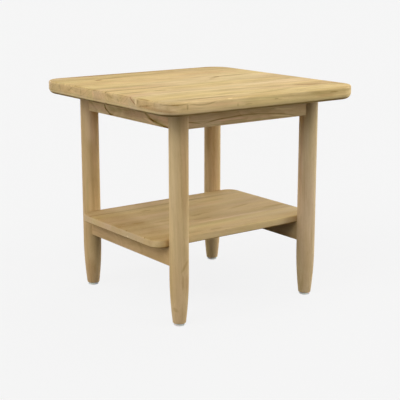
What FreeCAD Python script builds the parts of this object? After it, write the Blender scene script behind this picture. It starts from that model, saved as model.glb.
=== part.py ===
"""Square end table with a lower shelf, built as a joiner would build it.

A thick top with rounded corners sits on a frame of four turned legs and four aprons. Two
lower rails join the legs at the left and at the right, and a shelf rests on them between the
legs. Dowels locate every rail end in a flat seat milled in the round leg, and a bolt through
each corner block pulls the leg in. Screws hold the blocks, the top and the shelf, and a glide
is nailed under each leg.

Frame: millimetres, origin on the floor below the centre of the table, +Z up, +X along the
grain of the top and the shelf. Left is -X, front is -Y.
"""
import FreeCAD, Part
import os
import re

import Sketcher

# Every driving size, once: value, meaning.
SIZES = {
    "overall_height": (520, "floor to the upper face of the top"),
    "top_length": (550, "top along X, the way its grain runs"),
    "top_width": (550, "top along Y"),
    "top_thickness": (32, ""),
    "top_corner_radius": (52, "plan radius of the corners of the top"),
    "top_upper_round": (5, "rounding of the upper edge of the top"),
    "top_lower_round": (14, "rounding of the lower edge of the top"),
    "leg_inset": (85, "edge of the top to the axis of a leg, both ways"),
    "leg_diameter": (44, "straight upper part of a leg"),
    "leg_straight_from": (118, "height at which the taper ends and the straight part begins"),
    "foot_diameter": (30, "leg at its lower end, before the edge is rounded"),
    "foot_round": (2, "rounding of the lower edge of a leg"),
    "glide_diameter": (26, ""),
    "glide_height": (5, "floor to the lower end of a leg"),
    "glide_bevel": (0.75, "bevel round the tread of a glide"),
    "apron_thickness": (24, ""),
    "apron_height": (40, ""),
    "rail_thickness": (24, ""),
    "rail_height": (44, ""),
    "board_edge_round": (1.5, "easing of the lower edges of aprons and rails"),
    "shelf_past_legs": (25, "how far the shelf stands out past the legs along X"),
    "shelf_thickness": (18, ""),
    "shelf_upper_face": (197, "floor to the upper face of the shelf"),
    "shelf_corner_radius": (30, "plan radius of the corners of the shelf"),
    "shelf_edge_round": (2.5, "rounding of the upper and lower edges of the shelf"),
    "shelf_leg_gap": (0.5, "running gap between the shelf and each leg"),
    "block_height": (32, "corner block, down from the underside of the top"),
    "block_depth": (28, "corner block along the diagonal"),
    "block_leg_gap": (3, "room for the bolt to pull the leg in"),
    "block_tip": (5, "blunt tip of a wing of a corner block"),
    "dowel_diameter": (8, ""),
    "dowel_bevel": (1, ""),
    "dowel_wall": (1, "wood left between the dowels that meet in a leg"),
    "apron_dowel_length": (30, ""),
    "apron_dowels_apart": (24, "pair of dowels in an apron end, centre to centre"),
    "rail_dowel_length": (36, ""),
    "rail_dowels_apart": (22, "pair of dowels in a rail end, centre to centre"),
    "bolt_diameter": (6, "leg bolt"),
    "bolt_in_leg": (28, "depth of the bolt from the surface of the leg"),
    "bolt_past_nut": (5, "bolt end that stands out of the nut"),
    "bolt_bevel": (0.75, "bevel at the end of a bolt"),
    "bolt_slack": (0.5, "radial clearance of the bolt in a corner block and past the aprons"),
    "washer_diameter": (16, ""),
    "washer_thickness": (1.6, ""),
    "nut_across_flats": (10, ""),
    "nut_height": (5, ""),
    "screw_diameter": (4, "shank of every wood screw"),
    "screw_head_diameter": (8, ""),
    "screw_head_height": (3, ""),
    "screw_head_bevel": (1, "bevel round the outer face of a screw head"),
    "block_screw_length": (25, "under the head"),
    "block_screw_wood": (8, "corner block left under the head"),
    "block_screw_from_axis": (50, "leg axis to the screw, along the apron"),
    "top_screw_length": (42, "under the head"),
    "top_screw_wood": (24, "corner block left under the head"),
    "top_screw_side": (14, "leg bolt to each top screw, across the diagonal"),
    "shelf_screw_length": (36, "under the head"),
    "shelf_screw_wood": (24, "rail left under the head"),
    "shelf_screws_apart": (200, "pair of screws in a rail, centre to centre"),
    "nail_diameter": (2.5, "glide nail"),
    "nail_length": (18, "under the head"),
    "nail_head_diameter": (8, ""),
    "nail_head_height": (1.2, ""),
    "nail_recess": (1.8, "depth of the recess for the nail head in a glide"),
    "hole_gap": (0.2, "radial clearance of a dowel, screw, bolt or nail in its hole"),
    "hole_end_gap": (0.5, "free depth past the end of a dowel, screw, bolt or nail"),
    "head_gap": (0.5, "radial clearance of a head in its recess"),
}

# Lengths that follow from the sizes above.
ROOT_2 = "sqrt(2)"
LEG_X = "(top_length / 2 - leg_inset)"
LEG_Y = "(top_width / 2 - leg_inset)"
TOP_UNDERSIDE = "(overall_height - top_thickness)"
APRON_LOWER_EDGE = f"({TOP_UNDERSIDE} - apron_height)"
APRON_MIDDLE = f"({TOP_UNDERSIDE} - apron_height / 2)"
SHELF_UNDERSIDE = "(shelf_upper_face - shelf_thickness)"
RAIL_LOWER_EDGE = f"({SHELF_UNDERSIDE} - rail_height)"
RAIL_MIDDLE = f"({SHELF_UNDERSIDE} - rail_height / 2)"
SHELF_LENGTH = f"(2 * {LEG_X} + leg_diameter + 2 * shelf_past_legs)"
SHELF_WIDTH = f"(2 * {LEG_Y} - leg_diameter - 2 * shelf_leg_gap)"
APRON_INNER_FACE = "(apron_thickness / 2)"
# The flat seats in a leg stand as far from its axis as lets the bolt pass between two aprons.
SEAT_FROM_AXIS = f"({APRON_INNER_FACE} + (bolt_diameter / 2 + bolt_slack) * {ROOT_2})"
APRON_DOWEL_IN_LEG = f"({SEAT_FROM_AXIS} - dowel_diameter / 2 - dowel_wall)"
RAIL_DOWEL_IN_LEG = "(rail_dowel_length / 2)"
BLOCK_NEAR_FACE = "(leg_diameter / 2 + block_leg_gap)"
BLOCK_FAR_FACE = f"({BLOCK_NEAR_FACE} + block_depth)"
BLOCK_MIDDLE = f"({BLOCK_NEAR_FACE} + block_depth / 2)"
BLOCK_LOWER_FACE = f"({TOP_UNDERSIDE} - block_height)"
BLOCK_SCREW_HEIGHT = f"({TOP_UNDERSIDE} - block_height / 2)"
BLOCK_SCREW_SEAT = f"({APRON_INNER_FACE} + block_screw_wood)"
TOP_SCREW_SEAT = f"({TOP_UNDERSIDE} - top_screw_wood)"
TOP_SCREW_NEAR = f"(({BLOCK_MIDDLE} - top_screw_side) / {ROOT_2})"
TOP_SCREW_FAR = f"(({BLOCK_MIDDLE} + top_screw_side) / {ROOT_2})"
SHELF_SCREW_SEAT = f"({SHELF_UNDERSIDE} - shelf_screw_wood)"
SCREW_HOLE = "(screw_diameter + 2 * hole_gap)"
SCREW_RECESS = "(screw_head_diameter + 2 * head_gap)"
DOWEL_HOLE = "(dowel_diameter + 2 * hole_gap)"

X_AXIS = FreeCAD.Vector(1, 0, 0)
Y_AXIS = FreeCAD.Vector(0, 1, 0)
Z_AXIS = FreeCAD.Vector(0, 0, 1)

# Points closer than this in height are level, and the cross product of two unit vectors
# shorter than this means that they are parallel.
TOLERANCE = 1e-6

# Turns for a sketch, by the way its normal then points. A cut goes against the normal.
FACING = {
    "+Z": FreeCAD.Rotation(Z_AXIS, 0),
    "-Z": FreeCAD.Rotation(X_AXIS, 180),
    "+X": FreeCAD.Rotation(Y_AXIS, 90),
    "-X": FreeCAD.Rotation(Y_AXIS, -90),
    "+Y": FreeCAD.Rotation(X_AXIS, -90),
    "-Y": FreeCAD.Rotation(X_AXIS, 90),
}
FACING["diagonal"] = FreeCAD.Rotation(Z_AXIS, 45).multiply(FACING["+X"])

# Turns for a sketch, by the way its vertical axis then points, about which it is revolved.
ALONG = {
    "+Z": FreeCAD.Rotation(X_AXIS, 90),
    "+X": FreeCAD.Rotation(Z_AXIS, -90),
    "-X": FreeCAD.Rotation(Z_AXIS, 90),
    "+Y": FreeCAD.Rotation(Z_AXIS, 0),
    "-Y": FreeCAD.Rotation(Z_AXIS, 180),
    "diagonal": FreeCAD.Rotation(Z_AXIS, -45),
}

# The corners of the frame in order, with the signs of their places along X and along Y. The
# pieces of a corner are drawn for the first one, where +X and +Y point into the table, and
# get one more quarter turn at each corner after it.
CORNERS = {
    "front_left": ("-", "-"),
    "front_right": ("", "-"),
    "back_right": ("", ""),
    "back_left": ("-", ""),
}
QUARTER_TURN = 90

doc = FreeCAD.newDocument("end_table")
sheet = doc.addObject("Spreadsheet::Sheet", "sizes")
nodes = []


def fill_sheet():
    """Writes every driving size into the sheet: alias, plain number, meaning."""
    for row, (name, (number, meaning)) in enumerate(SIZES.items(), start=1):
        sheet.set(f"A{row}", name)
        sheet.set(f"B{row}", str(number))
        sheet.set(f"C{row}", meaning)
        sheet.setAlias(f"B{row}", name)
    doc.recompute()


def formula(text):
    """The text as a document expression: every size name gets the name of the sheet."""

    def in_sheet(word):
        return f"sizes.{word[0]}" if word[0] in SIZES else word[0]

    return re.sub(r"[a-z_]+", in_sheet, str(text))


def value(text):
    """The number that a formula gives now."""
    return float(sheet.evalExpression(formula(text)))


def bind(thing, prop, text):
    """Ties a property of an object to the sheet."""
    thing.setExpression(prop, formula(text))


def new_body(name, node=True):
    """A body of its own. A node's body is written to a file of the same name."""
    body = doc.addObject("PartDesign::Body", name)
    body.Label = name
    if node:
        nodes.append(body)
    return body


def place(body, x, y, z, turn=0):
    """Puts a body at a place tied to the sheet, turned about the vertical."""
    body.Placement = FreeCAD.Placement(FreeCAD.Vector(0, 0, 0), FreeCAD.Rotation(Z_AXIS, turn))
    bind(body, "Placement.Base.x", x)
    bind(body, "Placement.Base.y", y)
    bind(body, "Placement.Base.z", z)


def place_at_corner(body, corner, z=0):
    """Puts a body that is drawn about the axis of the front left leg at a corner."""
    sign_x, sign_y = CORNERS[corner]
    turn = QUARTER_TURN * list(CORNERS).index(corner)
    place(body, f"{sign_x}{LEG_X}", f"{sign_y}{LEG_Y}", z, turn)


def new_sketch(body, name, turn=FACING["+Z"], x=0, y=0, z=0):
    """A sketch attached to the body's XY plane, turned and moved to x, y, z."""
    sketch = body.newObject("Sketcher::SketchObject", f"{body.Name}_{name}")
    plane = next(item for item in body.Origin.OriginFeatures if item.Role == "XY_Plane")
    sketch.AttachmentSupport = [(plane, "")]
    sketch.MapMode = "FlatFace"
    sketch.AttachmentOffset = FreeCAD.Placement(FreeCAD.Vector(0, 0, 0), turn)
    bind(sketch, "AttachmentOffset.Base.x", x)
    bind(sketch, "AttachmentOffset.Base.y", y)
    bind(sketch, "AttachmentOffset.Base.z", z)
    return sketch


def fix_point(sketch, geometry, point, x, y):
    """Ties a point of the sketch to the sheet, or to an axis where its coordinate is 0."""
    for text, kind, axis in ((x, "DistanceX", -2), (y, "DistanceY", -1)):
        if str(text) == "0":
            sketch.addConstraint(Sketcher.Constraint("PointOnObject", geometry, point, axis))
        else:
            number = sketch.addConstraint(Sketcher.Constraint(kind, geometry, point, value(text)))
            bind(sketch, f"Constraints[{number}]", text)


def draw_polygon(sketch, corners):
    """A closed outline of straight lines through corners given as pairs of formulas."""
    points = [FreeCAD.Vector(value(x), value(y), 0) for x, y in corners]
    first = sketch.GeometryCount
    count = len(corners)
    for index in range(count):
        sketch.addGeometry(Part.LineSegment(points[index], points[(index + 1) % count]))
    for index in range(count):
        following = first + (index + 1) % count
        sketch.addConstraint(Sketcher.Constraint("Coincident", first + index, 2, following, 1))
    for index, (x, y) in enumerate(corners):
        fix_point(sketch, first + index, 1, x, y)


def draw_rectangle(sketch, x_low, x_high, y_low, y_high):
    """A rectangle between two formulas each way."""
    draw_polygon(sketch, [(x_low, y_low), (x_high, y_low), (x_high, y_high), (x_low, y_high)])


def draw_circle(sketch, diameter, x=0, y=0):
    """A circle with its centre and diameter tied to the sheet."""
    centre = FreeCAD.Vector(value(x), value(y), 0)
    index = sketch.addGeometry(Part.Circle(centre, Z_AXIS, value(diameter) / 2))
    number = sketch.addConstraint(Sketcher.Constraint("Diameter", index, value(diameter)))
    bind(sketch, f"Constraints[{number}]", diameter)
    fix_point(sketch, index, 3, x, y)


def pad(body, name, sketch, length):
    """Grows the sketch along its normal."""
    feature = body.newObject("PartDesign::Pad", f"{body.Name}_{name}")
    feature.Profile = (sketch, [""])
    bind(feature, "Length", length)
    doc.recompute()
    return feature


def cut(body, name, sketch, depth):
    """Sinks the sketch into the body, against its normal, and makes sure that it cuts."""
    before = body.Shape.Volume
    feature = body.newObject("PartDesign::Pocket", f"{body.Name}_{name}")
    feature.Profile = (sketch, [""])
    feature.Type = "Length"
    bind(feature, "Length", depth)
    doc.recompute()
    if not body.Shape.Volume < before:
        raise RuntimeError(f"{feature.Name} cuts nothing")
    return feature


def stepped_hole(body, name, sketch, diameter, recess_diameter, recess_depth):
    """A through hole with a flat-bottomed recess for a screw head at its mouth."""
    before = body.Shape.Volume
    doc.recompute()
    feature = body.newObject("PartDesign::Hole", f"{body.Name}_{name}")
    feature.Profile = (sketch, [""])
    doc.recompute()
    feature.DepthType = "ThroughAll"
    feature.HoleCutType = "Counterbore"
    feature.HoleCutCustomValues = True
    bind(feature, "Diameter", diameter)
    bind(feature, "HoleCutDiameter", recess_diameter)
    bind(feature, "HoleCutDepth", recess_depth)
    doc.recompute()
    if not body.Shape.Volume < before:
        raise RuntimeError(f"{feature.Name} cuts nothing")
    return feature


def turn_profile(body, name, sketch):
    """Revolves the sketch about its own vertical axis."""
    feature = body.newObject("PartDesign::Revolution", f"{body.Name}_{name}")
    feature.Profile = (sketch, [""])
    feature.ReferenceAxis = (sketch, ["V_Axis"])
    feature.Angle = 360
    doc.recompute()
    return feature


def round_edges(body, name, radius, wanted):
    """Fillets every edge of the body for which wanted(edge) is true."""
    before = body.Tip
    edges = enumerate(before.Shape.Edges, start=1)
    names = [f"Edge{number}" for number, edge in edges if wanted(edge)]
    if not names:
        raise RuntimeError(f"{body.Name}_{name} finds no edge")
    feature = body.newObject("PartDesign::Fillet", f"{body.Name}_{name}")
    feature.Base = (before, names)
    bind(feature, "Radius", radius)
    doc.recompute()
    return feature


def runs_along(edge, axis):
    """True for a straight edge parallel to the axis."""
    return edge.tangentAt(edge.FirstParameter).cross(axis).Length < TOLERANCE


def lies_at_height(height):
    """A test for edges that lie wholly at a height, given as a formula in the body's frame."""
    level = value(height)

    def is_level(edge):
        return all(abs(vertex.Z - level) < TOLERANCE for vertex in edge.Vertexes)

    return is_level


def mirror_to_corners(body, features):
    """Repeats features, made for the front left corner, at the other three corners."""
    planes = {item.Role: item for item in body.Origin.OriginFeatures}
    pattern = body.newObject("PartDesign::MultiTransform", f"{body.Name}_corners")
    pattern.Originals = features
    mirrors = []
    for role in ("YZ_Plane", "XZ_Plane"):
        mirror = body.newObject("PartDesign::Mirrored", f"{body.Name}_over_{role[:2].lower()}")
        mirror.MirrorPlane = (planes[role], [""])
        mirrors.append(mirror)
    pattern.Transformations = mirrors
    body.Tip = pattern
    doc.recompute()


def turned_piece(body, name, turn, x, y, z, corners):
    """A turned piece: corners are pairs of radius and distance along the axis from x, y, z."""
    profile = new_sketch(body, name, turn, x, y, z)
    draw_polygon(profile, corners)
    return turn_profile(body, f"{name}_turned", profile)


def drill(body, name, turn, x, y, z, diameter, depth, centres=((0, 0),)):
    """Round holes of one depth, at centres given in the sketch's own two directions."""
    sketch = new_sketch(body, name, turn, x, y, z)
    for across, up in centres:
        draw_circle(sketch, diameter, across, up)
    return cut(body, f"{name}_drilled", sketch, depth)


# The top and the shelf ------------------------------------------------------------------


def make_panel(name, z, length, width, thickness, corner_radius, upper_round, lower_round):
    """A solid wood panel with rounded corners, its upper and lower edges rounded all round."""
    body = new_body(name)
    place(body, 0, 0, z)
    outline = new_sketch(body, "outline")
    draw_rectangle(outline, f"-{length} / 2", f"{length} / 2", f"-{width} / 2", f"{width} / 2")
    pad(body, "slab", outline, thickness)
    round_edges(body, "corners", corner_radius, lambda edge: runs_along(edge, Z_AXIS))
    round_edges(body, "upper_edge", upper_round, lies_at_height(thickness))
    round_edges(body, "lower_edge", lower_round, lies_at_height(0))
    return body


def make_tabletop():
    """The top, with pilot holes in its underside for the screws of the corner blocks."""
    body = make_panel(
        "tabletop", TOP_UNDERSIDE, "top_length", "top_width", "top_thickness",
        "top_corner_radius", "top_upper_round", "top_lower_round",
    )
    centres = []
    for sign_x, sign_y in CORNERS.values():
        for along, across in ((TOP_SCREW_NEAR, TOP_SCREW_FAR), (TOP_SCREW_FAR, TOP_SCREW_NEAR)):
            centres.append((f"{sign_x}({LEG_X} - {along})", f"{sign_y}({LEG_Y} - {across})"))
    depth = "top_screw_length - top_screw_wood + hole_end_gap"
    drill(body, "pilots", FACING["-Z"], 0, 0, 0, SCREW_HOLE, depth, centres)


def make_shelf():
    """The shelf, with pilot holes in its underside for the screws of the rails."""
    body = make_panel(
        "shelf", SHELF_UNDERSIDE, SHELF_LENGTH, SHELF_WIDTH, "shelf_thickness",
        "shelf_corner_radius", "shelf_edge_round", "shelf_edge_round",
    )
    centres = [
        (f"{sign_x}{LEG_X}", f"{sign_y}shelf_screws_apart / 2")
        for sign_x, sign_y in CORNERS.values()
    ]
    depth = "shelf_screw_length - shelf_screw_wood + hole_end_gap"
    drill(body, "pilots", FACING["-Z"], 0, 0, 0, SCREW_HOLE, depth, centres)


# Legs -----------------------------------------------------------------------------------


def draw_leg_profile(sketch):
    """Half the section of a leg: a straight upper part and a taper that is one long arc.

    The arc leaves the straight part at a tangent and ends at the foot, so its radius follows
    from the two diameters and the height of the taper.
    """
    foot, radius = value("foot_diameter / 2"), value("leg_diameter / 2")
    low, bend, top = value("glide_height"), value("leg_straight_from"), value(TOP_UNDERSIDE)
    fall, rise = radius - foot, bend - low
    taper_radius = (rise**2 + fall**2) / (2 * fall)
    centre = FreeCAD.Vector(radius - taper_radius, bend, 0)
    start = FreeCAD.Vector(foot - centre.x, low - bend, 0).getAngle(X_AXIS)
    taper = Part.ArcOfCircle(Part.Circle(centre, Z_AXIS, taper_radius), -start, 0)
    points = [
        FreeCAD.Vector(foot, low, 0),
        FreeCAD.Vector(radius, bend, 0),
        FreeCAD.Vector(radius, top, 0),
        FreeCAD.Vector(0, top, 0),
        FreeCAD.Vector(0, low, 0),
    ]
    arc = sketch.addGeometry(taper)
    lines = [
        sketch.addGeometry(Part.LineSegment(points[index], points[(index + 1) % len(points)]))
        for index in range(1, len(points))
    ]
    sketch.addConstraint(Sketcher.Constraint("Tangent", arc, 2, lines[0], 1))
    for before, after in zip(lines, lines[1:] + [arc]):
        sketch.addConstraint(Sketcher.Constraint("Coincident", before, 2, after, 1))
    fix_point(sketch, lines[0], 1, "leg_diameter / 2", "leg_straight_from")
    fix_point(sketch, lines[1], 1, "leg_diameter / 2", TOP_UNDERSIDE)
    fix_point(sketch, lines[2], 1, 0, TOP_UNDERSIDE)
    fix_point(sketch, lines[3], 1, 0, "glide_height")
    fix_point(sketch, arc, 1, "foot_diameter / 2", "glide_height")


def mill_seat(leg, name, side, top, thickness, height):
    """A flat seat for the end of a board, milled into the +X or the +Y side of a leg."""
    sketch = new_sketch(leg, f"{name}_seat", z=top)
    deep = (SEAT_FROM_AXIS, "leg_diameter")
    wide = (f"-{thickness} / 2", f"{thickness} / 2")
    if side == "+X":
        draw_rectangle(sketch, *deep, *wide)
    else:
        draw_rectangle(sketch, *wide, *deep)
    cut(leg, f"{name}_seat_milled", sketch, height)


def drill_seat(leg, name, side, middle, apart, depth):
    """The pair of dowel holes in a seat, one above the other."""
    if side == "+X":
        place_of_seat = (SEAT_FROM_AXIS, 0, middle)
        centres = [(f"{apart} / 2", 0), (f"-{apart} / 2", 0)]
    else:
        place_of_seat = (0, SEAT_FROM_AXIS, middle)
        centres = [(0, f"{apart} / 2"), (0, f"-{apart} / 2")]
    deep = f"{depth} + hole_end_gap"
    drill(leg, f"{name}_dowels", FACING[side], *place_of_seat, DOWEL_HOLE, deep, centres)


def make_leg(corner):
    """A turned leg, drawn with +X and +Y pointing into the table and turned to its corner."""
    body = new_body(f"leg_{corner}")
    place_at_corner(body, corner)
    profile = new_sketch(body, "profile", ALONG["+Z"])
    draw_leg_profile(profile)
    turn_profile(body, "turned", profile)
    round_edges(body, "foot", "foot_round", lies_at_height("glide_height"))
    for side in ("+X", "+Y"):
        name = f"apron_{side[1].lower()}"
        mill_seat(body, name, side, TOP_UNDERSIDE, "apron_thickness", "apron_height")
        drill_seat(body, name, side, APRON_MIDDLE, "apron_dowels_apart", APRON_DOWEL_IN_LEG)
    sign_x, sign_y = CORNERS[corner]
    rail_side = "+Y" if sign_x == sign_y else "+X"
    mill_seat(body, "rail", rail_side, SHELF_UNDERSIDE, "rail_thickness", "rail_height")
    drill_seat(body, "rail", rail_side, RAIL_MIDDLE, "rail_dowels_apart", RAIL_DOWEL_IN_LEG)
    surface = f"leg_diameter / 2 / {ROOT_2}"
    bolt_hole = "bolt_diameter + 2 * hole_gap"
    bolt_depth = "bolt_in_leg + hole_end_gap"
    drill(body, "bolt", FACING["diagonal"], surface, surface, APRON_MIDDLE, bolt_hole, bolt_depth)
    nail_hole = "nail_diameter + 2 * hole_gap"
    nail_depth = "nail_length + nail_recess - glide_height + hole_end_gap"
    drill(body, "nail", FACING["-Z"], 0, 0, "glide_height", nail_hole, nail_depth)


# Boards between the legs ----------------------------------------------------------------


def make_board(name, x, y, z, turn, leg, thickness, height, dowels_apart, dowel_depth):
    """A board between two legs that stand as far as leg says to either side of its middle.

    It lies along its own X axis and has a pair of dowel holes in each end.
    """
    body = new_body(name)
    place(body, x, y, z, turn)
    half = f"({leg} - {SEAT_FROM_AXIS})"
    outline = new_sketch(body, "outline")
    draw_rectangle(outline, f"-{half}", half, f"-{thickness} / 2", f"{thickness} / 2")
    pad(body, "board", outline, height)
    at_bottom = lies_at_height(0)
    round_edges(
        body, "lower_edges", "board_edge_round",
        lambda edge: at_bottom(edge) and runs_along(edge, X_AXIS),
    )
    centres = [(f"{dowels_apart} / 2", 0), (f"-{dowels_apart} / 2", 0)]
    deep = f"{dowel_depth} + hole_end_gap"
    middle = f"{height} / 2"
    drill(body, "right_dowels", FACING["+X"], half, 0, middle, DOWEL_HOLE, deep, centres)
    drill(body, "left_dowels", FACING["-X"], f"-{half}", 0, middle, DOWEL_HOLE, deep, centres)
    return body


def make_apron(side, x, y, turn, leg):
    """An apron, its inner face on its own +Y side, with a pilot hole for each corner block."""
    dowel_depth = f"(apron_dowel_length - {APRON_DOWEL_IN_LEG})"
    body = make_board(
        f"apron_{side}", x, y, APRON_LOWER_EDGE, turn, leg,
        "apron_thickness", "apron_height", "apron_dowels_apart", dowel_depth,
    )
    height = f"{BLOCK_SCREW_HEIGHT} - {APRON_LOWER_EDGE}"
    along = f"({leg} - block_screw_from_axis)"
    depth = "block_screw_length - block_screw_wood + hole_end_gap"
    centres = [(along, 0), (f"-{along}", 0)]
    drill(body, "pilots", FACING["+Y"], 0, APRON_INNER_FACE, height, SCREW_HOLE, depth, centres)


def make_rail(side, x):
    """A rail under the shelf, with two screws up through it, their heads deep in recesses."""
    dowel_depth = f"(rail_dowel_length - {RAIL_DOWEL_IN_LEG})"
    body = make_board(
        f"shelf_rail_{side}", x, 0, RAIL_LOWER_EDGE, QUARTER_TURN, LEG_Y,
        "rail_thickness", "rail_height", "rail_dowels_apart", dowel_depth,
    )
    sketch = new_sketch(body, "screws", FACING["-Z"])
    for sign in ("", "-"):
        draw_circle(sketch, SCREW_HOLE, f"{sign}shelf_screws_apart / 2", 0)
    recess_depth = "rail_height - shelf_screw_wood"
    stepped_hole(body, "screw_holes", sketch, SCREW_HOLE, SCREW_RECESS, recess_depth)


def make_corner_block(corner):
    """A corner block: it fits between two aprons and faces the leg across the diagonal."""
    body = new_body(f"corner_block_{corner}")
    place_at_corner(body, corner, BLOCK_LOWER_FACE)
    face = APRON_INNER_FACE
    shoulder = f"({face} + block_tip)"
    near = f"({BLOCK_NEAR_FACE} * {ROOT_2} - {face})"
    far = f"({BLOCK_FAR_FACE} * {ROOT_2} - {shoulder})"
    outline = new_sketch(body, "outline")
    draw_polygon(
        outline,
        [(near, face), (far, face), (far, shoulder), (shoulder, far), (face, far), (face, near)],
    )
    pad(body, "block", outline, "block_height")
    middle = f"{BLOCK_FAR_FACE} / {ROOT_2}"
    bolt_height = f"{APRON_MIDDLE} - {BLOCK_LOWER_FACE}"
    bolt_hole = "bolt_diameter + 2 * bolt_slack"
    through = "block_depth + block_leg_gap"
    drill(body, "bolt", FACING["diagonal"], middle, middle, bolt_height, bolt_hole, through)
    seats = {
        "X": (BLOCK_SCREW_SEAT, "block_screw_from_axis", "block_height / 2"),
        "Y": ("block_screw_from_axis", BLOCK_SCREW_SEAT, "block_height / 2"),
    }
    for axis, seat in seats.items():
        name = f"screw_{axis.lower()}"
        drill(body, f"{name}_recess", FACING[f"-{axis}"], *seat, SCREW_RECESS, BLOCK_FAR_FACE)
        drill(body, name, FACING[f"+{axis}"], *seat, SCREW_HOLE, "block_screw_wood + hole_end_gap")
    sketch = new_sketch(body, "top_screws", FACING["-Z"])
    draw_circle(sketch, SCREW_HOLE, TOP_SCREW_NEAR, f"-{TOP_SCREW_FAR}")
    draw_circle(sketch, SCREW_HOLE, TOP_SCREW_FAR, f"-{TOP_SCREW_NEAR}")
    recess_depth = "block_height - top_screw_wood"
    stepped_hole(body, "top_screw_holes", sketch, SCREW_HOLE, SCREW_RECESS, recess_depth)


# Glides ---------------------------------------------------------------------------------


def make_glide(corner):
    """A plastic glide: a disc with a bevelled tread and a recess for the head of its nail."""
    body = new_body(f"glide_{corner}")
    place_at_corner(body, corner)
    bore = "(nail_diameter / 2 + hole_gap)"
    recess = "(nail_head_diameter / 2 + head_gap)"
    rim = "(glide_diameter / 2)"
    corners = [
        (bore, "nail_recess"),
        (recess, "nail_recess"),
        (recess, 0),
        (f"{rim} - glide_bevel", 0),
        (rim, "glide_bevel"),
        (rim, "glide_height"),
        (bore, "glide_height"),
    ]
    turned_piece(body, "disc", ALONG["+Z"], 0, 0, 0, corners)


# Hardware: each group is made for the front left corner and repeated at the others --------


def corner_place(inward_x, inward_y, z):
    """A place given from the axis of the front left leg, +X and +Y pointing into the table."""
    return f"{inward_x} - {LEG_X}", f"{inward_y} - {LEG_Y}", z


def screw_outline(length):
    """A pan-head wood screw from the underside of its head, along its axis."""
    head, shank = "screw_head_diameter / 2", "screw_diameter / 2"
    return [
        (0, "-screw_head_height"),
        (f"{head} - screw_head_bevel", "-screw_head_height"),
        (head, "screw_head_bevel - screw_head_height"),
        (head, 0),
        (shank, 0),
        (shank, f"{length} - screw_diameter"),
        (0, length),
    ]


def make_screws(name, length, screws):
    """A group of screws: each is a direction and the place of the underside of its head."""
    body = new_body(name)
    features = [
        turned_piece(body, f"screw_{number}", ALONG[way], *where, screw_outline(length))
        for number, (way, where) in enumerate(screws, start=1)
    ]
    mirror_to_corners(body, features)


def make_all_screws():
    """The screws of the corner blocks, of the top and of the shelf."""
    from_axis, seat = "block_screw_from_axis", BLOCK_SCREW_SEAT
    make_screws(
        "block_screws", "block_screw_length",
        [
            ("-X", corner_place(seat, from_axis, BLOCK_SCREW_HEIGHT)),
            ("-Y", corner_place(from_axis, seat, BLOCK_SCREW_HEIGHT)),
        ],
    )
    make_screws(
        "top_screws", "top_screw_length",
        [
            ("+Z", corner_place(TOP_SCREW_NEAR, TOP_SCREW_FAR, TOP_SCREW_SEAT)),
            ("+Z", corner_place(TOP_SCREW_FAR, TOP_SCREW_NEAR, TOP_SCREW_SEAT)),
        ],
    )
    make_screws(
        "shelf_screws", "shelf_screw_length",
        [("+Z", (f"-{LEG_X}", "-shelf_screws_apart / 2", SHELF_SCREW_SEAT))],
    )


def make_dowels(name, length, dowels):
    """A group of dowels with bevelled ends: each is a direction and the place of its start."""
    body = new_body(name)
    outline = [
        (0, 0),
        ("dowel_diameter / 2 - dowel_bevel", 0),
        ("dowel_diameter / 2", "dowel_bevel"),
        ("dowel_diameter / 2", f"{length} - dowel_bevel"),
        ("dowel_diameter / 2 - dowel_bevel", length),
        (0, length),
    ]
    features = [
        turned_piece(body, f"dowel_{number}", ALONG[way], *where, outline)
        for number, (way, where) in enumerate(dowels, start=1)
    ]
    mirror_to_corners(body, features)


def make_all_dowels():
    """Two dowels in every end of every apron and rail."""
    start = f"({SEAT_FROM_AXIS} - {APRON_DOWEL_IN_LEG})"
    in_aprons = []
    for sign in ("+", "-"):
        height = f"{APRON_MIDDLE} {sign} apron_dowels_apart / 2"
        in_aprons.append(("+X", corner_place(start, 0, height)))
        in_aprons.append(("+Y", corner_place(0, start, height)))
    make_dowels("apron_dowels", "apron_dowel_length", in_aprons)
    start = f"({SEAT_FROM_AXIS} - {RAIL_DOWEL_IN_LEG})"
    in_rails = [
        ("+Y", corner_place(0, start, f"{RAIL_MIDDLE} {sign} rail_dowels_apart / 2"))
        for sign in ("+", "-")
    ]
    make_dowels("rail_dowels", "rail_dowel_length", in_rails)


def make_leg_bolts():
    """The bolts: a point in the leg, a plain end past the corner block, washer and nut."""
    radius = "bolt_diameter / 2"
    tip = "(leg_diameter / 2 - bolt_in_leg)"
    nut_face = f"({BLOCK_FAR_FACE} + washer_thickness + nut_height)"
    end = f"({nut_face} + bolt_past_nut)"
    bolt = [
        (0, tip),
        (radius, f"{tip} + bolt_diameter"),
        (radius, f"{end} - bolt_bevel"),
        (f"{radius} - bolt_bevel", end),
        (0, end),
    ]
    axis = corner_place(0, 0, APRON_MIDDLE)
    body = new_body("leg_bolts")
    mirror_to_corners(body, [turned_piece(body, "bolt", ALONG["diagonal"], *axis, bolt)])


def make_washers():
    """A washer on the inner face of every corner block."""
    bore = "(bolt_diameter / 2 + hole_gap)"
    outer_face = f"({BLOCK_FAR_FACE} + washer_thickness)"
    ring = [
        (bore, BLOCK_FAR_FACE),
        ("washer_diameter / 2", BLOCK_FAR_FACE),
        ("washer_diameter / 2", outer_face),
        (bore, outer_face),
    ]
    axis = corner_place(0, 0, APRON_MIDDLE)
    body = new_body("leg_bolt_washers")
    mirror_to_corners(body, [turned_piece(body, "washer", ALONG["diagonal"], *axis, ring)])


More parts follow.
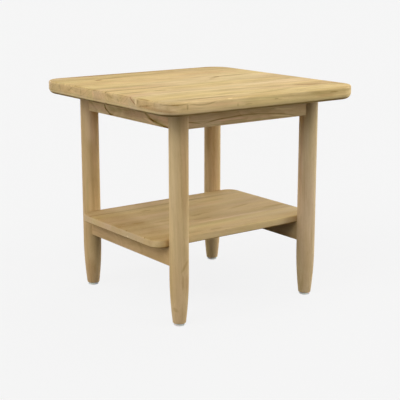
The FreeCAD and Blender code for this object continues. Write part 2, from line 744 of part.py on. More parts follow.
def make_nuts():
    """A hexagon nut on every washer."""
    body = new_body("leg_bolt_nuts")
    inward = f"({BLOCK_FAR_FACE} + washer_thickness) / {ROOT_2}"
    where = corner_place(inward, inward, APRON_MIDDLE)
    sketch = new_sketch(body, "hexagon", FACING["diagonal"], *where)
    point, flat = "nut_across_flats / sqrt(3)", "nut_across_flats / 2"
    draw_polygon(
        sketch,
        [
            (point, 0),
            (f"{point} / 2", flat),
            (f"-{point} / 2", flat),
            (f"-{point}", 0),
            (f"-{point} / 2", f"-{flat}"),
            (f"{point} / 2", f"-{flat}"),
        ],
    )
    draw_circle(sketch, "bolt_diameter + 2 * hole_gap")
    mirror_to_corners(body, [pad(body, "nut", sketch, "nut_height")])


def make_nails():
    """A nail up through every glide into its leg, the head inside the recess."""
    head, shank = "nail_head_diameter / 2", "nail_diameter / 2"
    outline = [
        (0, "-nail_head_height"),
        (head, "-nail_head_height"),
        (head, 0),
        (shank, 0),
        (shank, "nail_length - nail_diameter"),
        (0, "nail_length"),
    ]
    body = new_body("glide_nails")
    where = corner_place(0, 0, "nail_recess")
    mirror_to_corners(body, [turned_piece(body, "nail", ALONG["+Z"], *where, outline)])


# The whole table ------------------------------------------------------------------------


def build():
    """Builds every piece of the table."""
    fill_sheet()
    make_tabletop()
    make_shelf()
    for corner in CORNERS:
        make_leg(corner)
        make_corner_block(corner)
        make_glide(corner)
    make_apron("front", 0, f"-{LEG_Y}", 0, LEG_X)
    make_apron("right", LEG_X, 0, QUARTER_TURN, LEG_Y)
    make_apron("back", 0, LEG_Y, 2 * QUARTER_TURN, LEG_X)
    make_apron("left", f"-{LEG_X}", 0, 3 * QUARTER_TURN, LEG_Y)
    make_rail("left", f"-{LEG_X}")
    make_rail("right", LEG_X)
    make_all_dowels()
    make_leg_bolts()
    make_washers()
    make_nuts()
    make_all_screws()
    make_nails()


def check():
    """Stops if anything in the document failed or a piece isn't a sound solid."""
    doc.recompute()
    failed = [thing.Name for thing in doc.Objects if {"Invalid", "Error"} & set(thing.State)]
    if failed:
        raise RuntimeError(f"failed objects: {failed}")
    for body in nodes:
        if body.Shape.isNull() or not body.Shape.isValid() or not body.Shape.Solids:
            raise RuntimeError(f"{body.Label} has no valid solid")


def write():
    """Writes one file for each piece, named by its label."""
    os.makedirs("parts", exist_ok=True)
    for body in nodes:
        body.Shape.exportStep(f"parts/{body.Label}.step")
        print(f"{body.Label}: {len(body.Shape.Solids)} solid(s), {body.Shape.Volume / 1000:.1f} cm3")


build()
check()
write()
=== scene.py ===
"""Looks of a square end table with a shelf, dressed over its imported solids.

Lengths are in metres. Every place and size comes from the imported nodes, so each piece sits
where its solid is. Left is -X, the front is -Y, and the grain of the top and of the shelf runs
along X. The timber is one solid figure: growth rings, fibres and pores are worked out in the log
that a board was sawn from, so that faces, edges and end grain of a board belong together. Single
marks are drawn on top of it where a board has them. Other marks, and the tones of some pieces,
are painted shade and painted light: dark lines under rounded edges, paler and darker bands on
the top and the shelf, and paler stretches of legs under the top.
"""
import logging
import math
from collections.abc import Callable, Iterable, Mapping, Sequence
from dataclasses import dataclass, replace
from enum import Enum
from functools import cache

import bmesh
import bpy
from mathutils import Matrix, Vector


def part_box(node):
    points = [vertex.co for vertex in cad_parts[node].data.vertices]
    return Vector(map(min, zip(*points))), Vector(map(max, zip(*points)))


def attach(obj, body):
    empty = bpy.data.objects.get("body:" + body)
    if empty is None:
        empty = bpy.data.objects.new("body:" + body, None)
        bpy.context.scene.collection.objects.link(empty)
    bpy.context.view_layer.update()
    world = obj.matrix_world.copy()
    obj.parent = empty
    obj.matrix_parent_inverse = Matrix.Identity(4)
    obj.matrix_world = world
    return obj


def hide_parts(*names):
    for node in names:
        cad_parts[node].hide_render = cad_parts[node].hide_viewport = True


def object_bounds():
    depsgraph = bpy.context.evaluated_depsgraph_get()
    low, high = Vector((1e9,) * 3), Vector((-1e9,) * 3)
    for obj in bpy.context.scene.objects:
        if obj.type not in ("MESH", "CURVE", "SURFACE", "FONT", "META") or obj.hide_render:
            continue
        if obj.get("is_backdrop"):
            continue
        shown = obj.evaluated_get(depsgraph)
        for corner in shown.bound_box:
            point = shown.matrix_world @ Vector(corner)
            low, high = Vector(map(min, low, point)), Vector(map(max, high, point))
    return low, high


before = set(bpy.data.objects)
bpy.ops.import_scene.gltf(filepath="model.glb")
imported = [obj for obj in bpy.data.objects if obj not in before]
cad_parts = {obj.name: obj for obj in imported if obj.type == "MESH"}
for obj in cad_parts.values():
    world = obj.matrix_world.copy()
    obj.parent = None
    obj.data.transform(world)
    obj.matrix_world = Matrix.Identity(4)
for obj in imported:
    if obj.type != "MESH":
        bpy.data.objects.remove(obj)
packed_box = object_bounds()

logging.basicConfig(level=logging.INFO, format="%(message)s")
log = logging.getLogger("end_table")

BODY = "root"
X, Y, Z = Vector((1, 0, 0)), Vector((0, 1, 0)), Vector((0, 0, 1))
WELD = 1e-6  # A length that doesn't count.
Socket = bpy.types.NodeSocket
Pair = tuple[float, float]
Triple = tuple[float, float, float]
Screen = tuple[int, int, int]
Profile = Sequence[Pair]


class Corner(Enum):
    """A corner of the table, by the signs of its place along X and Y."""

    FRONT_LEFT = (-1, -1)
    FRONT_RIGHT = (1, -1)
    BACK_RIGHT = (1, 1)
    BACK_LEFT = (-1, 1)

    @property
    def node_name(self) -> str:
        """The corner as it is written at the end of a node's name."""
        return self.name.lower()

    @property
    def outward(self) -> Vector:
        """The level direction from the middle of the table to this corner."""
        return Vector((*self.value, 0)).normalized()


# Colours and shader nodes ---------------------------------------------------------------


def paint(red: int, green: int, blue: int) -> tuple[float, float, float, float]:
    """A colour from its red, green and blue as a screen shows them, 0 to 255.

    Args:
        red: Red, as the other two.
        green: Green.
        blue: Blue.

    Returns:
        The colour as a shader takes it.
    """
    linear = (((part / 255 + 0.055) / 1.055) ** 2.4 for part in (red, green, blue))
    return (*linear, 1.0)


class Graph:
    """A shader's node tree, with one short method for each kind of step."""

    def __init__(self, tree: bpy.types.NodeTree) -> None:
        """Takes the tree that the steps are added to."""
        self.tree = tree

    def add(self, kind: str, **settings: object) -> bpy.types.Node:
        """Adds a node.

        Args:
            kind: The node's type name.
            **settings: Values of the node's own properties.

        Returns:
            The node.
        """
        node = self.tree.nodes.new(kind)
        for name, value in settings.items():
            setattr(node, name, value)
        return node

    def feed(self, socket: Socket, value: object) -> None:
        """Links a socket to another one, or sets it to a plain value.

        Args:
            socket: The input that is fed.
            value: The output that it is linked to, or its value.
        """
        if isinstance(value, Socket):
            self.tree.links.new(value, socket)
        else:
            socket.default_value = value

    def math(self, operation: str, *values: Socket | float, clamp: bool = False) -> Socket:
        """Adds a sum on numbers.

        Args:
            operation: The Math node's operation.
            *values: Its operands.
            clamp: Whether the result is held between 0 and 1.

        Returns:
            The result.
        """
        node = self.add("ShaderNodeMath", operation=operation, use_clamp=clamp)
        for socket, value in zip(node.inputs, values):
            self.feed(socket, value)
        return node.outputs[0]

    def vector(self, operation: str, *values: Socket | Sequence[float]) -> Socket:
        """Adds a sum on vectors.

        Args:
            operation: The Vector Math node's operation.
            *values: Its operands.

        Returns:
            The resulting vector, or the number where the operation gives one.
        """
        node = self.add("ShaderNodeVectorMath", operation=operation)
        for socket, value in zip(node.inputs, values):
            self.feed(socket, value)
        return node.outputs["Value" if operation in ("LENGTH", "DOT_PRODUCT") else "Vector"]

    def scaled(self, vector: Socket, factor: Socket | float) -> Socket:
        """Adds the product of a vector, or a colour, and a number.

        Args:
            vector: The vector or colour.
            factor: The number.

        Returns:
            The product.
        """
        node = self.add("ShaderNodeVectorMath", operation="SCALE")
        self.feed(node.inputs[0], vector)
        self.feed(node.inputs["Scale"], factor)
        return node.outputs[0]

    def parts(self, vector: Socket) -> Sequence[Socket]:
        """Adds the three parts of a vector, or of a colour.

        Args:
            vector: The vector or colour.

        Returns:
            Its parts as numbers.
        """
        node = self.add("ShaderNodeSeparateXYZ")
        self.feed(node.inputs[0], vector)
        return node.outputs

    def noise(
        self, point: Socket, frequency: Sequence[float], detail: float = 1.0, spread: bool = False
    ) -> Socket:
        """Adds smooth noise.

        Args:
            point: Where the noise is read.
            frequency: Features per metre along each axis.
            detail: Number of finer octaves.
            spread: Whether three independent values are wanted as a vector.

        Returns:
            A value about 0.5, or a vector of three.
        """
        node = self.add("ShaderNodeTexNoise")
        self.feed(node.inputs["Vector"], self.vector("MULTIPLY", point, frequency))
        node.inputs["Scale"].default_value = 1.0
        node.inputs["Detail"].default_value = detail
        return node.outputs["Color" if spread else "Fac"]

    def swing(self, point: Socket, frequency: Sequence[float], detail: float) -> Socket:
        """Adds a vector of three independent values about 0, as noise() does about 0.5."""
        spread = self.noise(point, frequency, detail, spread=True)
        return self.vector("SUBTRACT", spread, (0.5, 0.5, 0.5))

    def rise(self, value: Socket, low: float, high: float) -> Socket:
        """Adds a smooth step from 0 to 1.

        Args:
            value: The value that is read.
            low: Where the step is 0.
            high: Where it is 1. The step falls where this is below low.

        Returns:
            The step, held at 0 and 1 outside.
        """
        node = self.add("ShaderNodeMapRange", interpolation_type="SMOOTHSTEP")
        falls = low > high
        ends = (high, low, 1.0, 0.0) if falls else (low, high, 0.0, 1.0)
        for name, end in zip(("From Min", "From Max", "To Min", "To Max"), ends):
            node.inputs[name].default_value = end
        self.feed(node.inputs["Value"], value)
        return node.outputs["Result"]

    def mix(
        self, share: Socket | float, first: object, second: object, blend: str = "MIX", clamp: bool = True
    ) -> Socket:
        """Adds a mix of two colours.

        Args:
            share: How much of the second colour.
            first: The first colour.
            second: The second colour.
            blend: The way they are blended.
            clamp: Whether the share is held between 0 and 1. Otherwise the mix goes on past both.

        Returns:
            The mixed colour.
        """
        node = self.add("ShaderNodeMix", data_type="RGBA", blend_type=blend, clamp_factor=clamp)
        share_socket, first_socket, second_socket = (node.inputs[index] for index in (0, 6, 7))
        self.feed(share_socket, share)
        self.feed(first_socket, first)
        self.feed(second_socket, second)
        return node.outputs[2]

    def emboss(self, shader: bpy.types.Node, height: Socket) -> None:
        """Gives a shader's surface a relief.

        Args:
            shader: The shader.
            height: The relief's height in metres.
        """
        bump = self.add("ShaderNodeBump")
        bump.inputs["Distance"].default_value = 1.0
        self.feed(bump.inputs["Height"], height)
        self.feed(shader.inputs["Normal"], bump.outputs["Normal"])

    def plain_shader(self, kind: str, **values: object) -> Socket:
        """Adds a shader that is the same all over.

        Args:
            kind: The shader's node type.
            **values: Values of its sockets, by name.

        Returns:
            The shader.
        """
        node = self.add(kind)
        for name, value in values.items():
            node.inputs[name].default_value = value
        return node.outputs[0]

    def mix_shaders(self, share: Socket | float, first: Socket, second: Socket) -> Socket:
        """Adds a mix of two shaders.

        Args:
            share: How much of the second one.
            first: The first shader.
            second: The second shader.

        Returns:
            The mixed shader.
        """
        node = self.add("ShaderNodeMixShader")
        for socket, value in zip(node.inputs, (share, first, second)):
            self.feed(socket, value)
        return node.outputs[0]


def new_group(
    name: str, inputs: Mapping[str, object], outputs: Iterable[str]
) -> tuple[bpy.types.NodeTree, Graph, Mapping[str, Socket], Mapping[str, Socket]]:
    """Makes an empty shader node group.

    Args:
        name: The group's name.
        inputs: Default value of each input, by name. A triple is a vector, four are a colour.
        outputs: Names of the outputs. "Color" is a colour, the others are numbers.

    Returns:
        The group, its graph, and by name the sockets that bring its inputs and take its outputs.
    """
    group = bpy.data.node_groups.new(name, "ShaderNodeTree")
    kinds = {3: "NodeSocketVector", 4: "NodeSocketColor"}
    for title, value in inputs.items():
        kind = kinds[len(value)] if isinstance(value, tuple) else "NodeSocketFloat"
        socket = group.interface.new_socket(title, in_out="INPUT", socket_type=kind)
        socket.default_value = value
    for title in outputs:
        kind = "NodeSocketColor" if title == "Color" else "NodeSocketFloat"
        group.interface.new_socket(title, in_out="OUTPUT", socket_type=kind)
    graph = Graph(group)
    entry, leave = graph.add("NodeGroupInput"), graph.add("NodeGroupOutput")
    return group, graph, entry.outputs, leave.inputs


@dataclass(frozen=True)
class Figure:
    """How fine and how strong the parts of the timber's figure are.

    A triple gives features per metre, both ways across the grain and along it. A pair gives the
    values of a noise, or of a year's growth, between which that part of the figure sets in. The
    other numbers are shares, but for reach, depth and height, which are in metres.
    """

    bend: Triple = (6, 6, 1.4)
    quiver: Triple = (55, 55, 7)
    quiver_reach: float = 0.0024
    year_changes: float = 0.31
    year_drift: float = 2.2
    year_strength: Pair = (0.25, 1.0)
    late_wood: Pair = (0.25, 0.88)
    year_end: Pair = (1.0, 0.9)
    band: Triple = (28, 28, 2.4)
    flame: Triple = (70, 70, 13)
    streak: Triple = (150, 150, 1.7)
    streak_from: Pair = (0.52, 0.72)
    fibre: Triple = (800, 800, 16)
    pore: Triple = (1300, 1300, 60)
    pore_from: Pair = (0.58, 0.7)
    patch: Triple = (14, 14, 2.6)
    patch_from: Pair = (0.36, 0.64)
    knot: Triple = (26, 26, 7)
    knot_from: Pair = (0.16, 0.04)
    knots_kept: Pair = (0.8, 0.84)
    end_fading: float = 0.6
    end_paleness: float = 0.12
    fibre_share: float = 0.35
    palest: float = -0.9
    darkest: float = 1.6
    greenest: float = -1.0
    pore_roughness: float = 0.18
    fibre_roughness: float = 0.16
    late_polish: float = 0.05
    pore_depth: float = 0.00009
    fibre_height: float = 0.000025
    late_height: float = 0.00001


FIGURE = Figure()


def growth_rings(graph: Graph, given: Mapping[str, Socket]) -> Socket:
    """Adds the late wood of the growth rings round the log's pith, bent by slow and by quick noise.

    Args:
        graph: The graph of the timber group.
        given: The group's inputs.

    Returns:
        A mask that is 1 on the late wood. Its strength and the spacing vary with the years.
    """
    point = given["Log"]
    across = (1, 1, 0)
    slow = graph.vector("MULTIPLY", graph.swing(point, FIGURE.bend, 1), across)
    reach = (FIGURE.quiver_reach, FIGURE.quiver_reach, 0)
    quick = graph.vector("MULTIPLY", graph.swing(point, FIGURE.quiver, 2), reach)
    level = graph.vector("MULTIPLY", point, across)
    bent = graph.vector("ADD", graph.vector("ADD", level, graph.scaled(slow, given["Bend"])), quick)
    radius = graph.vector("LENGTH", bent)

    years = graph.math("DIVIDE", radius, given["Ring Spacing"])
    uneven = graph.add("ShaderNodeTexNoise", noise_dimensions="1D")
    graph.feed(uneven.inputs["W"], graph.math("MULTIPLY", years, FIGURE.year_changes))
    uneven.inputs["Detail"].default_value = 1.0
    years = graph.math("ADD", years, graph.math("MULTIPLY", uneven.outputs["Fac"], FIGURE.year_drift))
    season = graph.math("FRACT", years)
    weather = graph.add("ShaderNodeTexWhiteNoise", noise_dimensions="1D")
    graph.feed(weather.inputs["W"], graph.math("FLOOR", years))
    faint, full = FIGURE.year_strength
    strength = graph.math("MULTIPLY_ADD", weather.outputs["Value"], full - faint, faint)
    late = graph.rise(season, *FIGURE.late_wood)
    late = graph.math("MULTIPLY", late, graph.rise(season, *FIGURE.year_end))
    return graph.math("MULTIPLY", late, strength)


def small_knots(graph: Graph, point: Socket) -> Socket:
    """Adds small knots, drawn out along the grain and few between.

    Args:
        graph: The graph of the timber group.
        point: The place in the log.

    Returns:
        A mask that is 1 on the knots.
    """
    cell = graph.add("ShaderNodeTexVoronoi")
    graph.feed(cell.inputs["Vector"], graph.vector("MULTIPLY", point, FIGURE.knot))
    cell.inputs["Scale"].default_value = 1.0
    near = graph.rise(cell.outputs["Distance"], *FIGURE.knot_from)
    kept = graph.rise(graph.parts(cell.outputs["Color"])[0], *FIGURE.knots_kept)
    return graph.math("MULTIPLY", near, kept)


@cache
def timber_group() -> bpy.types.NodeTree:
    """Solid timber, worked out in the log that a board was sawn from.

    The log's pith runs along the Z axis of the "Log" coordinates. Growth rings lie round it, and
    everything else is drawn out along the grain: bands, flames, streaks, fibres, pores, small
    knots, and patches of a greener, redder or more golden cast. "Marks" and "Warmth" add the
    marks that are drawn. Both may be below 0: paler than pale wood, and greener.

    Returns:
        The node group. It puts out Color, Roughness and Height, the last in metres.
    """
    group, graph, given, out = new_group(
        "timber",
        {
            "Log": (0.0, 0.0, 0.0), "Tint": 0.0, "End Grain": 0.0, "Marks": 0.0, "Warmth": 0.0,
            "Pale": paint(222, 194, 140), "Dark": paint(172, 134, 84), "Green": paint(254, 255, 252),
            "Blush": paint(255, 250, 250), "Gold": paint(255, 254, 236), "End Cast": paint(251, 248, 255),
            "Ring Spacing": 0.005, "Rings": 0.3, "Bend": 0.03, "Bands": 0.4, "Flames": 0.4,
            "Streaks": 0.3, "Pores": 0.3, "Patches": 0.5, "Knots": 0.5, "Base Roughness": 0.5,
        },
        ("Color", "Roughness", "Height"),
    )
    point = given["Log"]
    late = growth_rings(graph, given)
    knot = small_knots(graph, point)
    band = graph.math("SUBTRACT", graph.noise(point, FIGURE.band, 1), 0.5)
    flame = graph.math("SUBTRACT", graph.noise(point, FIGURE.flame, 2), 0.5)
    streak = graph.rise(graph.noise(point, FIGURE.streak, 2), *FIGURE.streak_from)
    fibre = graph.math("SUBTRACT", graph.noise(point, FIGURE.fibre, 2), 0.5)
    pore = graph.rise(graph.noise(point, FIGURE.pore, 1), *FIGURE.pore_from)
    pore = graph.math("MULTIPLY", pore, graph.math("SUBTRACT", 1.0, late))
    patches = graph.parts(graph.noise(point, FIGURE.patch, 3, spread=True))
    patch, gilt = (graph.rise(patches[index], *FIGURE.patch_from) for index in (0, 1))

    long_side = graph.math("MULTIPLY_ADD", given["End Grain"], -FIGURE.end_fading, 1.0)
    band = graph.math("MULTIPLY", band, long_side)
    flame = graph.math("MULTIPLY", flame, long_side)
    shares = (
        (late, given["Rings"]), (band, given["Bands"]), (flame, given["Flames"]),
        (streak, given["Streaks"]), (pore, given["Pores"]), (knot, given["Knots"]),
        (given["End Grain"], -FIGURE.end_paleness), (fibre, FIGURE.fibre_share),
    )
    dark = given["Marks"]
    for mask, share in shares:
        dark = graph.math("MULTIPLY_ADD", mask, share, dark)
    dark = graph.math("MAXIMUM", graph.math("MINIMUM", dark, FIGURE.darkest), FIGURE.palest)
    colour = graph.mix(dark, given["Pale"], given["Dark"], clamp=False)
    warm = graph.math("MAXIMUM", graph.math("ADD", patch, given["Warmth"]), FIGURE.greenest)
    tinge = graph.mix(warm, given["Green"], given["Blush"], clamp=False)
    cast = graph.mix(gilt, tinge, graph.mix(1.0, tinge, given["Gold"], "MULTIPLY"))
    colour = graph.mix(given["Patches"], colour, cast, "MULTIPLY")
    colour = graph.mix(given["End Grain"], colour, given["End Cast"], "MULTIPLY")
    graph.feed(out["Color"], graph.scaled(colour, graph.math("ADD", given["Tint"], 1.0)))

    rough = graph.math("MULTIPLY_ADD", pore, FIGURE.pore_roughness, given["Base Roughness"])
    rough = graph.math("MULTIPLY_ADD", fibre, FIGURE.fibre_roughness, rough)
    graph.feed(out["Roughness"], graph.math("MULTIPLY_ADD", late, -FIGURE.late_polish, rough, clamp=True))
    relief = graph.math("MULTIPLY", pore, graph.math("MULTIPLY", given["Pores"], -FIGURE.pore_depth))
    relief = graph.math("MULTIPLY_ADD", fibre, FIGURE.fibre_height, relief)
    graph.feed(out["Height"], graph.math("MULTIPLY_ADD", late, FIGURE.late_height, relief))
    return group


MARK_END = 1.1  # Where a mark has died away, as a share of its half length squared.
MARK_FADING_FROM = 0.25  # Where it starts to fade, measured in the same way.
MARK_NARROWING = 0.6  # Share of its width that it has lost at its ends.
MARK_CORE = 0.1  # Share of its half width over which it is at its darkest.
MARK_LEAST_WIDTH = 1e-6


@cache
def mark_group() -> bpy.types.NodeTree:
    """A single long mark, along a bowed line, soft at its sides and narrow at its ends: a streak in the
    wood, or a line of painted shade or light.

    "Place" is where the surface lies, along the grain and across it. The line runs through
    "Middle", climbs by "Slope" and leaves its straight way by "Bow" at its ends.

    Returns:
        The node group. It puts out Mask, 1 on the line.
    """
    group, graph, given, out = new_group(
        "mark",
        {
            "Place": (0.0, 0.0, 0.0), "Middle": (0.0, 0.0, 0.0), "Half Length": 0.1,
            "Slope": 0.0, "Bow": 0.0, "Half Width": 0.004,
        },
        ("Mask",),
    )
    along, across, _ = graph.parts(graph.vector("SUBTRACT", given["Place"], given["Middle"]))
    share = graph.math("DIVIDE", along, given["Half Length"])
    square = graph.math("MULTIPLY", share, share)
    bowed = graph.math("MULTIPLY", square, given["Bow"])
    line = graph.math("MULTIPLY_ADD", along, given["Slope"], bowed)
    off = graph.math("ABSOLUTE", graph.math("SUBTRACT", across, line))
    narrow = graph.math("MULTIPLY_ADD", square, -MARK_NARROWING, MARK_END)
    reach = graph.math("MAXIMUM", graph.math("MULTIPLY", narrow, given["Half Width"]), MARK_LEAST_WIDTH)
    beside = graph.rise(graph.math("DIVIDE", off, reach), 1.0, MARK_CORE)
    graph.feed(out["Mask"], graph.math("MULTIPLY", beside, graph.rise(square, MARK_END, MARK_FADING_FROM)))
    return group


# Finishes -------------------------------------------------------------------------------


@dataclass(frozen=True)
class Finish:
    """A finish: the record's slot that it stands for, and the material made for it."""

    slot: str

    def dress(self, graph: Graph, shader: bpy.types.Node) -> None:
        """Sets up the shader of the material. Each kind of finish does this its own way."""
        raise NotImplementedError

    @cache
    def material(self) -> bpy.types.Material:
        """The finish as a material, made once.

        Returns:
            The material.
        """
        material = bpy.data.materials.new(self.slot)
        material.use_nodes = True
        graph = Graph(material.node_tree)
        self.dress(graph, material.node_tree.nodes["Principled BSDF"])
        return material


class Face(Enum):
    """The sides that marks lie on, by the way along them, the way across them and the way out.

    A mark runs through the wood, so it shows on opposite sides. Without a way out it shows on
    every side. On TURNED legs it is drawn as seen from the front left corner of the table.
    """

    FLAT = ((1, 0, 0), (0, 1, 0), (0, 0, 1))
    LONG_SIDE = ((1, 0, 0), (0, 0, 1), (0, 1, 0))
    END = ((0, 1, 0), (0, 0, 1), (1, 0, 0))
    # ALL_ROUND carries painted shade and painted light round a panel's lower edge.
    ALL_ROUND = ((0, 0, 0), (0, 0, 1), None)
    TURNED = ((0, 0, 1), (0.805, -0.594, 0), None)


@dataclass(frozen=True)
class Mark:
    """A mark, as long and wide as it shows on a face: a streak or patch in the wood, or painted shade or
    painted light.

    Attributes:
        middle: Its middle, along the grain and across it.
        length: Its length.
        width: Its width at the middle.
        dark: How dark it is, as a share of the way from pale to dark wood. It may be pale.
        slope: How much it climbs across the grain, per length.
        bow: How far its ends leave the straight line.
        warm: How much redder it is. It is greener below 0.
        face: The sides that it lies on.
    """

    middle: Pair
    length: float
    width: float
    dark: float
    slope: float = 0.0
    bow: float = 0.0
    warm: float = 0.0
    face: Face = Face.FLAT


@dataclass(frozen=True)
class Timber(Finish):
    """Solid wood, lacquered or bare.

    The colours, lengths and shares are those of the timber group. Sawn pieces carry their place
    in the log on the mesh. Others are read in their own coordinates. The marks are measured from
    the origin given here.
    """

    pale: Screen = (222, 194, 144)
    dark: Screen = (173, 140, 84)
    green: Screen = (254, 255, 252)
    blush: Screen = (255, 250, 250)
    gold: Screen = (255, 254, 236)
    ring_spacing: float = 0.005
    rings: float = 0.3
    bend: float = 0.03
    bands: float = 0.6
    flames: float = 0.5
    streaks: float = 0.3
    pores: float = 0.3
    patches: float = 0.9
    knots: float = 0.4
    roughness: float = 0.58
    gloss: float = 0.07
    sawn: bool = True
    marks: tuple[Mark, ...] = ()
    origin: Triple = (0, 0, 0)

    SWAY_FIGURE = (14, 14, 14)  # Bends of the marks' lines, per metre.
    SWAY = (0.008, 0.008, 0.002)  # How far they bend.
    FACE_SETS_IN = (0.3, 0.5)  # Share of a surface's turn to a face at which its marks set in.

    def dress(self, graph: Graph, shader: bpy.types.Node) -> None:
        """Feeds colour, roughness and relief of the timber group to the shader.

        Args:
            graph: The material's graph.
            shader: Its shader.
        """
        timber = graph.add("ShaderNodeGroup", node_tree=timber_group())
        own = graph.add("ShaderNodeTexCoord").outputs["Object"]
        if self.sawn:
            place = graph.add("ShaderNodeAttribute", attribute_name="log")
            board = graph.add("ShaderNodeAttribute", attribute_name="board")
            tint, end_grain, _ = graph.parts(board.outputs["Vector"])
            graph.feed(timber.inputs["Log"], place.outputs["Vector"])
            graph.feed(timber.inputs["Tint"], tint)
            graph.feed(timber.inputs["End Grain"], end_grain)
        else:
            graph.feed(timber.inputs["Log"], own)
        if self.marks:
            dark, warm = self.drawn_marks(graph, own)
            graph.feed(timber.inputs["Marks"], dark)
            graph.feed(timber.inputs["Warmth"], warm)
        values = {
            "Pale": paint(*self.pale), "Dark": paint(*self.dark),
            "Green": paint(*self.green), "Blush": paint(*self.blush), "Gold": paint(*self.gold),
            "Ring Spacing": self.ring_spacing, "Rings": self.rings, "Bend": self.bend,
            "Bands": self.bands, "Flames": self.flames, "Streaks": self.streaks,
            "Pores": self.pores, "Patches": self.patches, "Knots": self.knots,
            "Base Roughness": self.roughness,
        }
        for name, value in values.items():
            timber.inputs[name].default_value = value
        graph.feed(shader.inputs["Base Color"], timber.outputs["Color"])
        graph.feed(shader.inputs["Roughness"], timber.outputs["Roughness"])
        graph.emboss(shader, timber.outputs["Height"])
        shader.inputs["Specular IOR Level"].default_value = self.gloss

    def drawn_marks(self, graph: Graph, own: Socket) -> tuple[Socket, Socket]:
        """Adds the marks, a little wavy.

        Args:
            graph: The material's graph.
            own: The surface's place in the table's coordinates.

        Returns:
            How dark and how warm the marks make the surface.
        """
        sway = graph.vector("MULTIPLY", graph.swing(own, self.SWAY_FIGURE, 2), self.SWAY)
        own = graph.vector("SUBTRACT", own, self.origin)
        place = graph.vector("ADD", own, sway)
        normal = graph.add("ShaderNodeNewGeometry").outputs["Normal"]
        dark, warm = 0.0, 0.0
        for face in dict.fromkeys(mark.face for mark in self.marks):
            along, across, outward = face.value
            spot = graph.add("ShaderNodeCombineXYZ")
            graph.feed(spot.inputs[0], graph.vector("DOT_PRODUCT", own, along))
            graph.feed(spot.inputs[1], graph.vector("DOT_PRODUCT", place, across))
            shown = 1.0
            if outward:
                turned = graph.math("ABSOLUTE", graph.vector("DOT_PRODUCT", normal, outward))
                shown = graph.rise(turned, *self.FACE_SETS_IN)
            for mark in (mark for mark in self.marks if mark.face is face):
                mask = graph.math("MULTIPLY", self.drawn_mark(graph, spot.outputs[0], mark), shown)
                dark = graph.math("MULTIPLY_ADD", mask, mark.dark, dark)
                warm = graph.math("MULTIPLY_ADD", mask, mark.warm, warm)
        return dark, warm

    def drawn_mark(self, graph: Graph, spot: Socket, mark: Mark) -> Socket:
        """Adds one mark.

        Args:
            graph: The material's graph.
            spot: The surface's place along and across the mark's face.
            mark: The mark.

        Returns:
            A mask that is 1 on its line.
        """
        line = graph.add("ShaderNodeGroup", node_tree=mark_group())
        graph.feed(line.inputs["Place"], spot)
        values = {
            "Middle": (*mark.middle, 0), "Half Length": mark.length / 2, "Slope": mark.slope,
            "Bow": mark.bow, "Half Width": mark.width / 2,
        }
        for name, value in values.items():
            line.inputs[name].default_value = value
        return line.outputs["Mask"]


@dataclass(frozen=True)
class ZincPlate(Finish):
    """Bright zinc on steel, a little cloudy, with fine turning marks."""

    colour: Screen = (205, 205, 200)
    cloudy: Screen = (168, 170, 166)
    roughness: float = 0.2
    cloudy_roughness: float = 0.25
    turning_roughness: float = 0.1

    CLOUDS = (260, 260, 260)
    TURNING = (3000, 3000, 5000)
    TURNING_DEPTH = 0.00001

    def dress(self, graph: Graph, shader: bpy.types.Node) -> None:
        """Mixes two greys and varies the gloss.

        Args:
            graph: The material's graph.
            shader: Its shader.
        """
        place = graph.add("ShaderNodeTexCoord").outputs["Object"]
        cloud = graph.noise(place, self.CLOUDS, 2)
        turning = graph.noise(place, self.TURNING, 1)
        colour = graph.mix(cloud, paint(*self.colour), paint(*self.cloudy))
        graph.feed(shader.inputs["Base Color"], colour)
        rough = graph.math("MULTIPLY_ADD", cloud, self.cloudy_roughness, self.roughness)
        rough = graph.math("MULTIPLY_ADD", turning, self.turning_roughness, rough)
        graph.feed(shader.inputs["Roughness"], rough)
        shader.inputs["Metallic"].default_value = 1.0
        graph.emboss(shader, graph.math("MULTIPLY", turning, self.TURNING_DEPTH))


@dataclass(frozen=True)
class GlidePlastic(Finish):
    """Pale milky plastic, scuffed on the tread."""

    colour: Screen = (244, 246, 241)
    scuffed: Screen = (230, 232, 226)
    roughness: float = 0.38
    scuff_roughness: float = 0.25
    milkiness: float = 0.15
    milky_depth: float = 0.002

    SCUFFS = (420, 420, 420)
    SCUFFED_FROM = (0.42, 0.68)
    SCUFF_DEPTH = 0.00003
    GRAIN = (2600, 2600, 2600)
    GRAIN_HEIGHT = 0.00002

    def dress(self, graph: Graph, shader: bpy.types.Node) -> None:
        """Mixes clean and scuffed plastic, with a fine moulded grain.

        Args:
            graph: The material's graph.
            shader: Its shader.
        """
        place = graph.add("ShaderNodeTexCoord").outputs["Object"]
        scuff = graph.rise(graph.noise(place, self.SCUFFS, 3), *self.SCUFFED_FROM)
        grain = graph.noise(place, self.GRAIN, 2)
        colour = graph.mix(scuff, paint(*self.colour), paint(*self.scuffed))
        graph.feed(shader.inputs["Base Color"], colour)
        rough = graph.math("MULTIPLY_ADD", scuff, self.scuff_roughness, self.roughness)
        graph.feed(shader.inputs["Roughness"], rough)
        relief = graph.math("MULTIPLY", grain, self.GRAIN_HEIGHT)
        graph.emboss(shader, graph.math("MULTIPLY_ADD", scuff, -self.SCUFF_DEPTH, relief))
        shader.inputs["Subsurface Weight"].default_value = self.milkiness
        shader.inputs["Subsurface Scale"].default_value = self.milky_depth


def lying_on(face: Face, *marks: Mark) -> tuple[Mark, ...]:
    """The same marks on another face."""
    return tuple(replace(mark, face=face) for mark in marks)


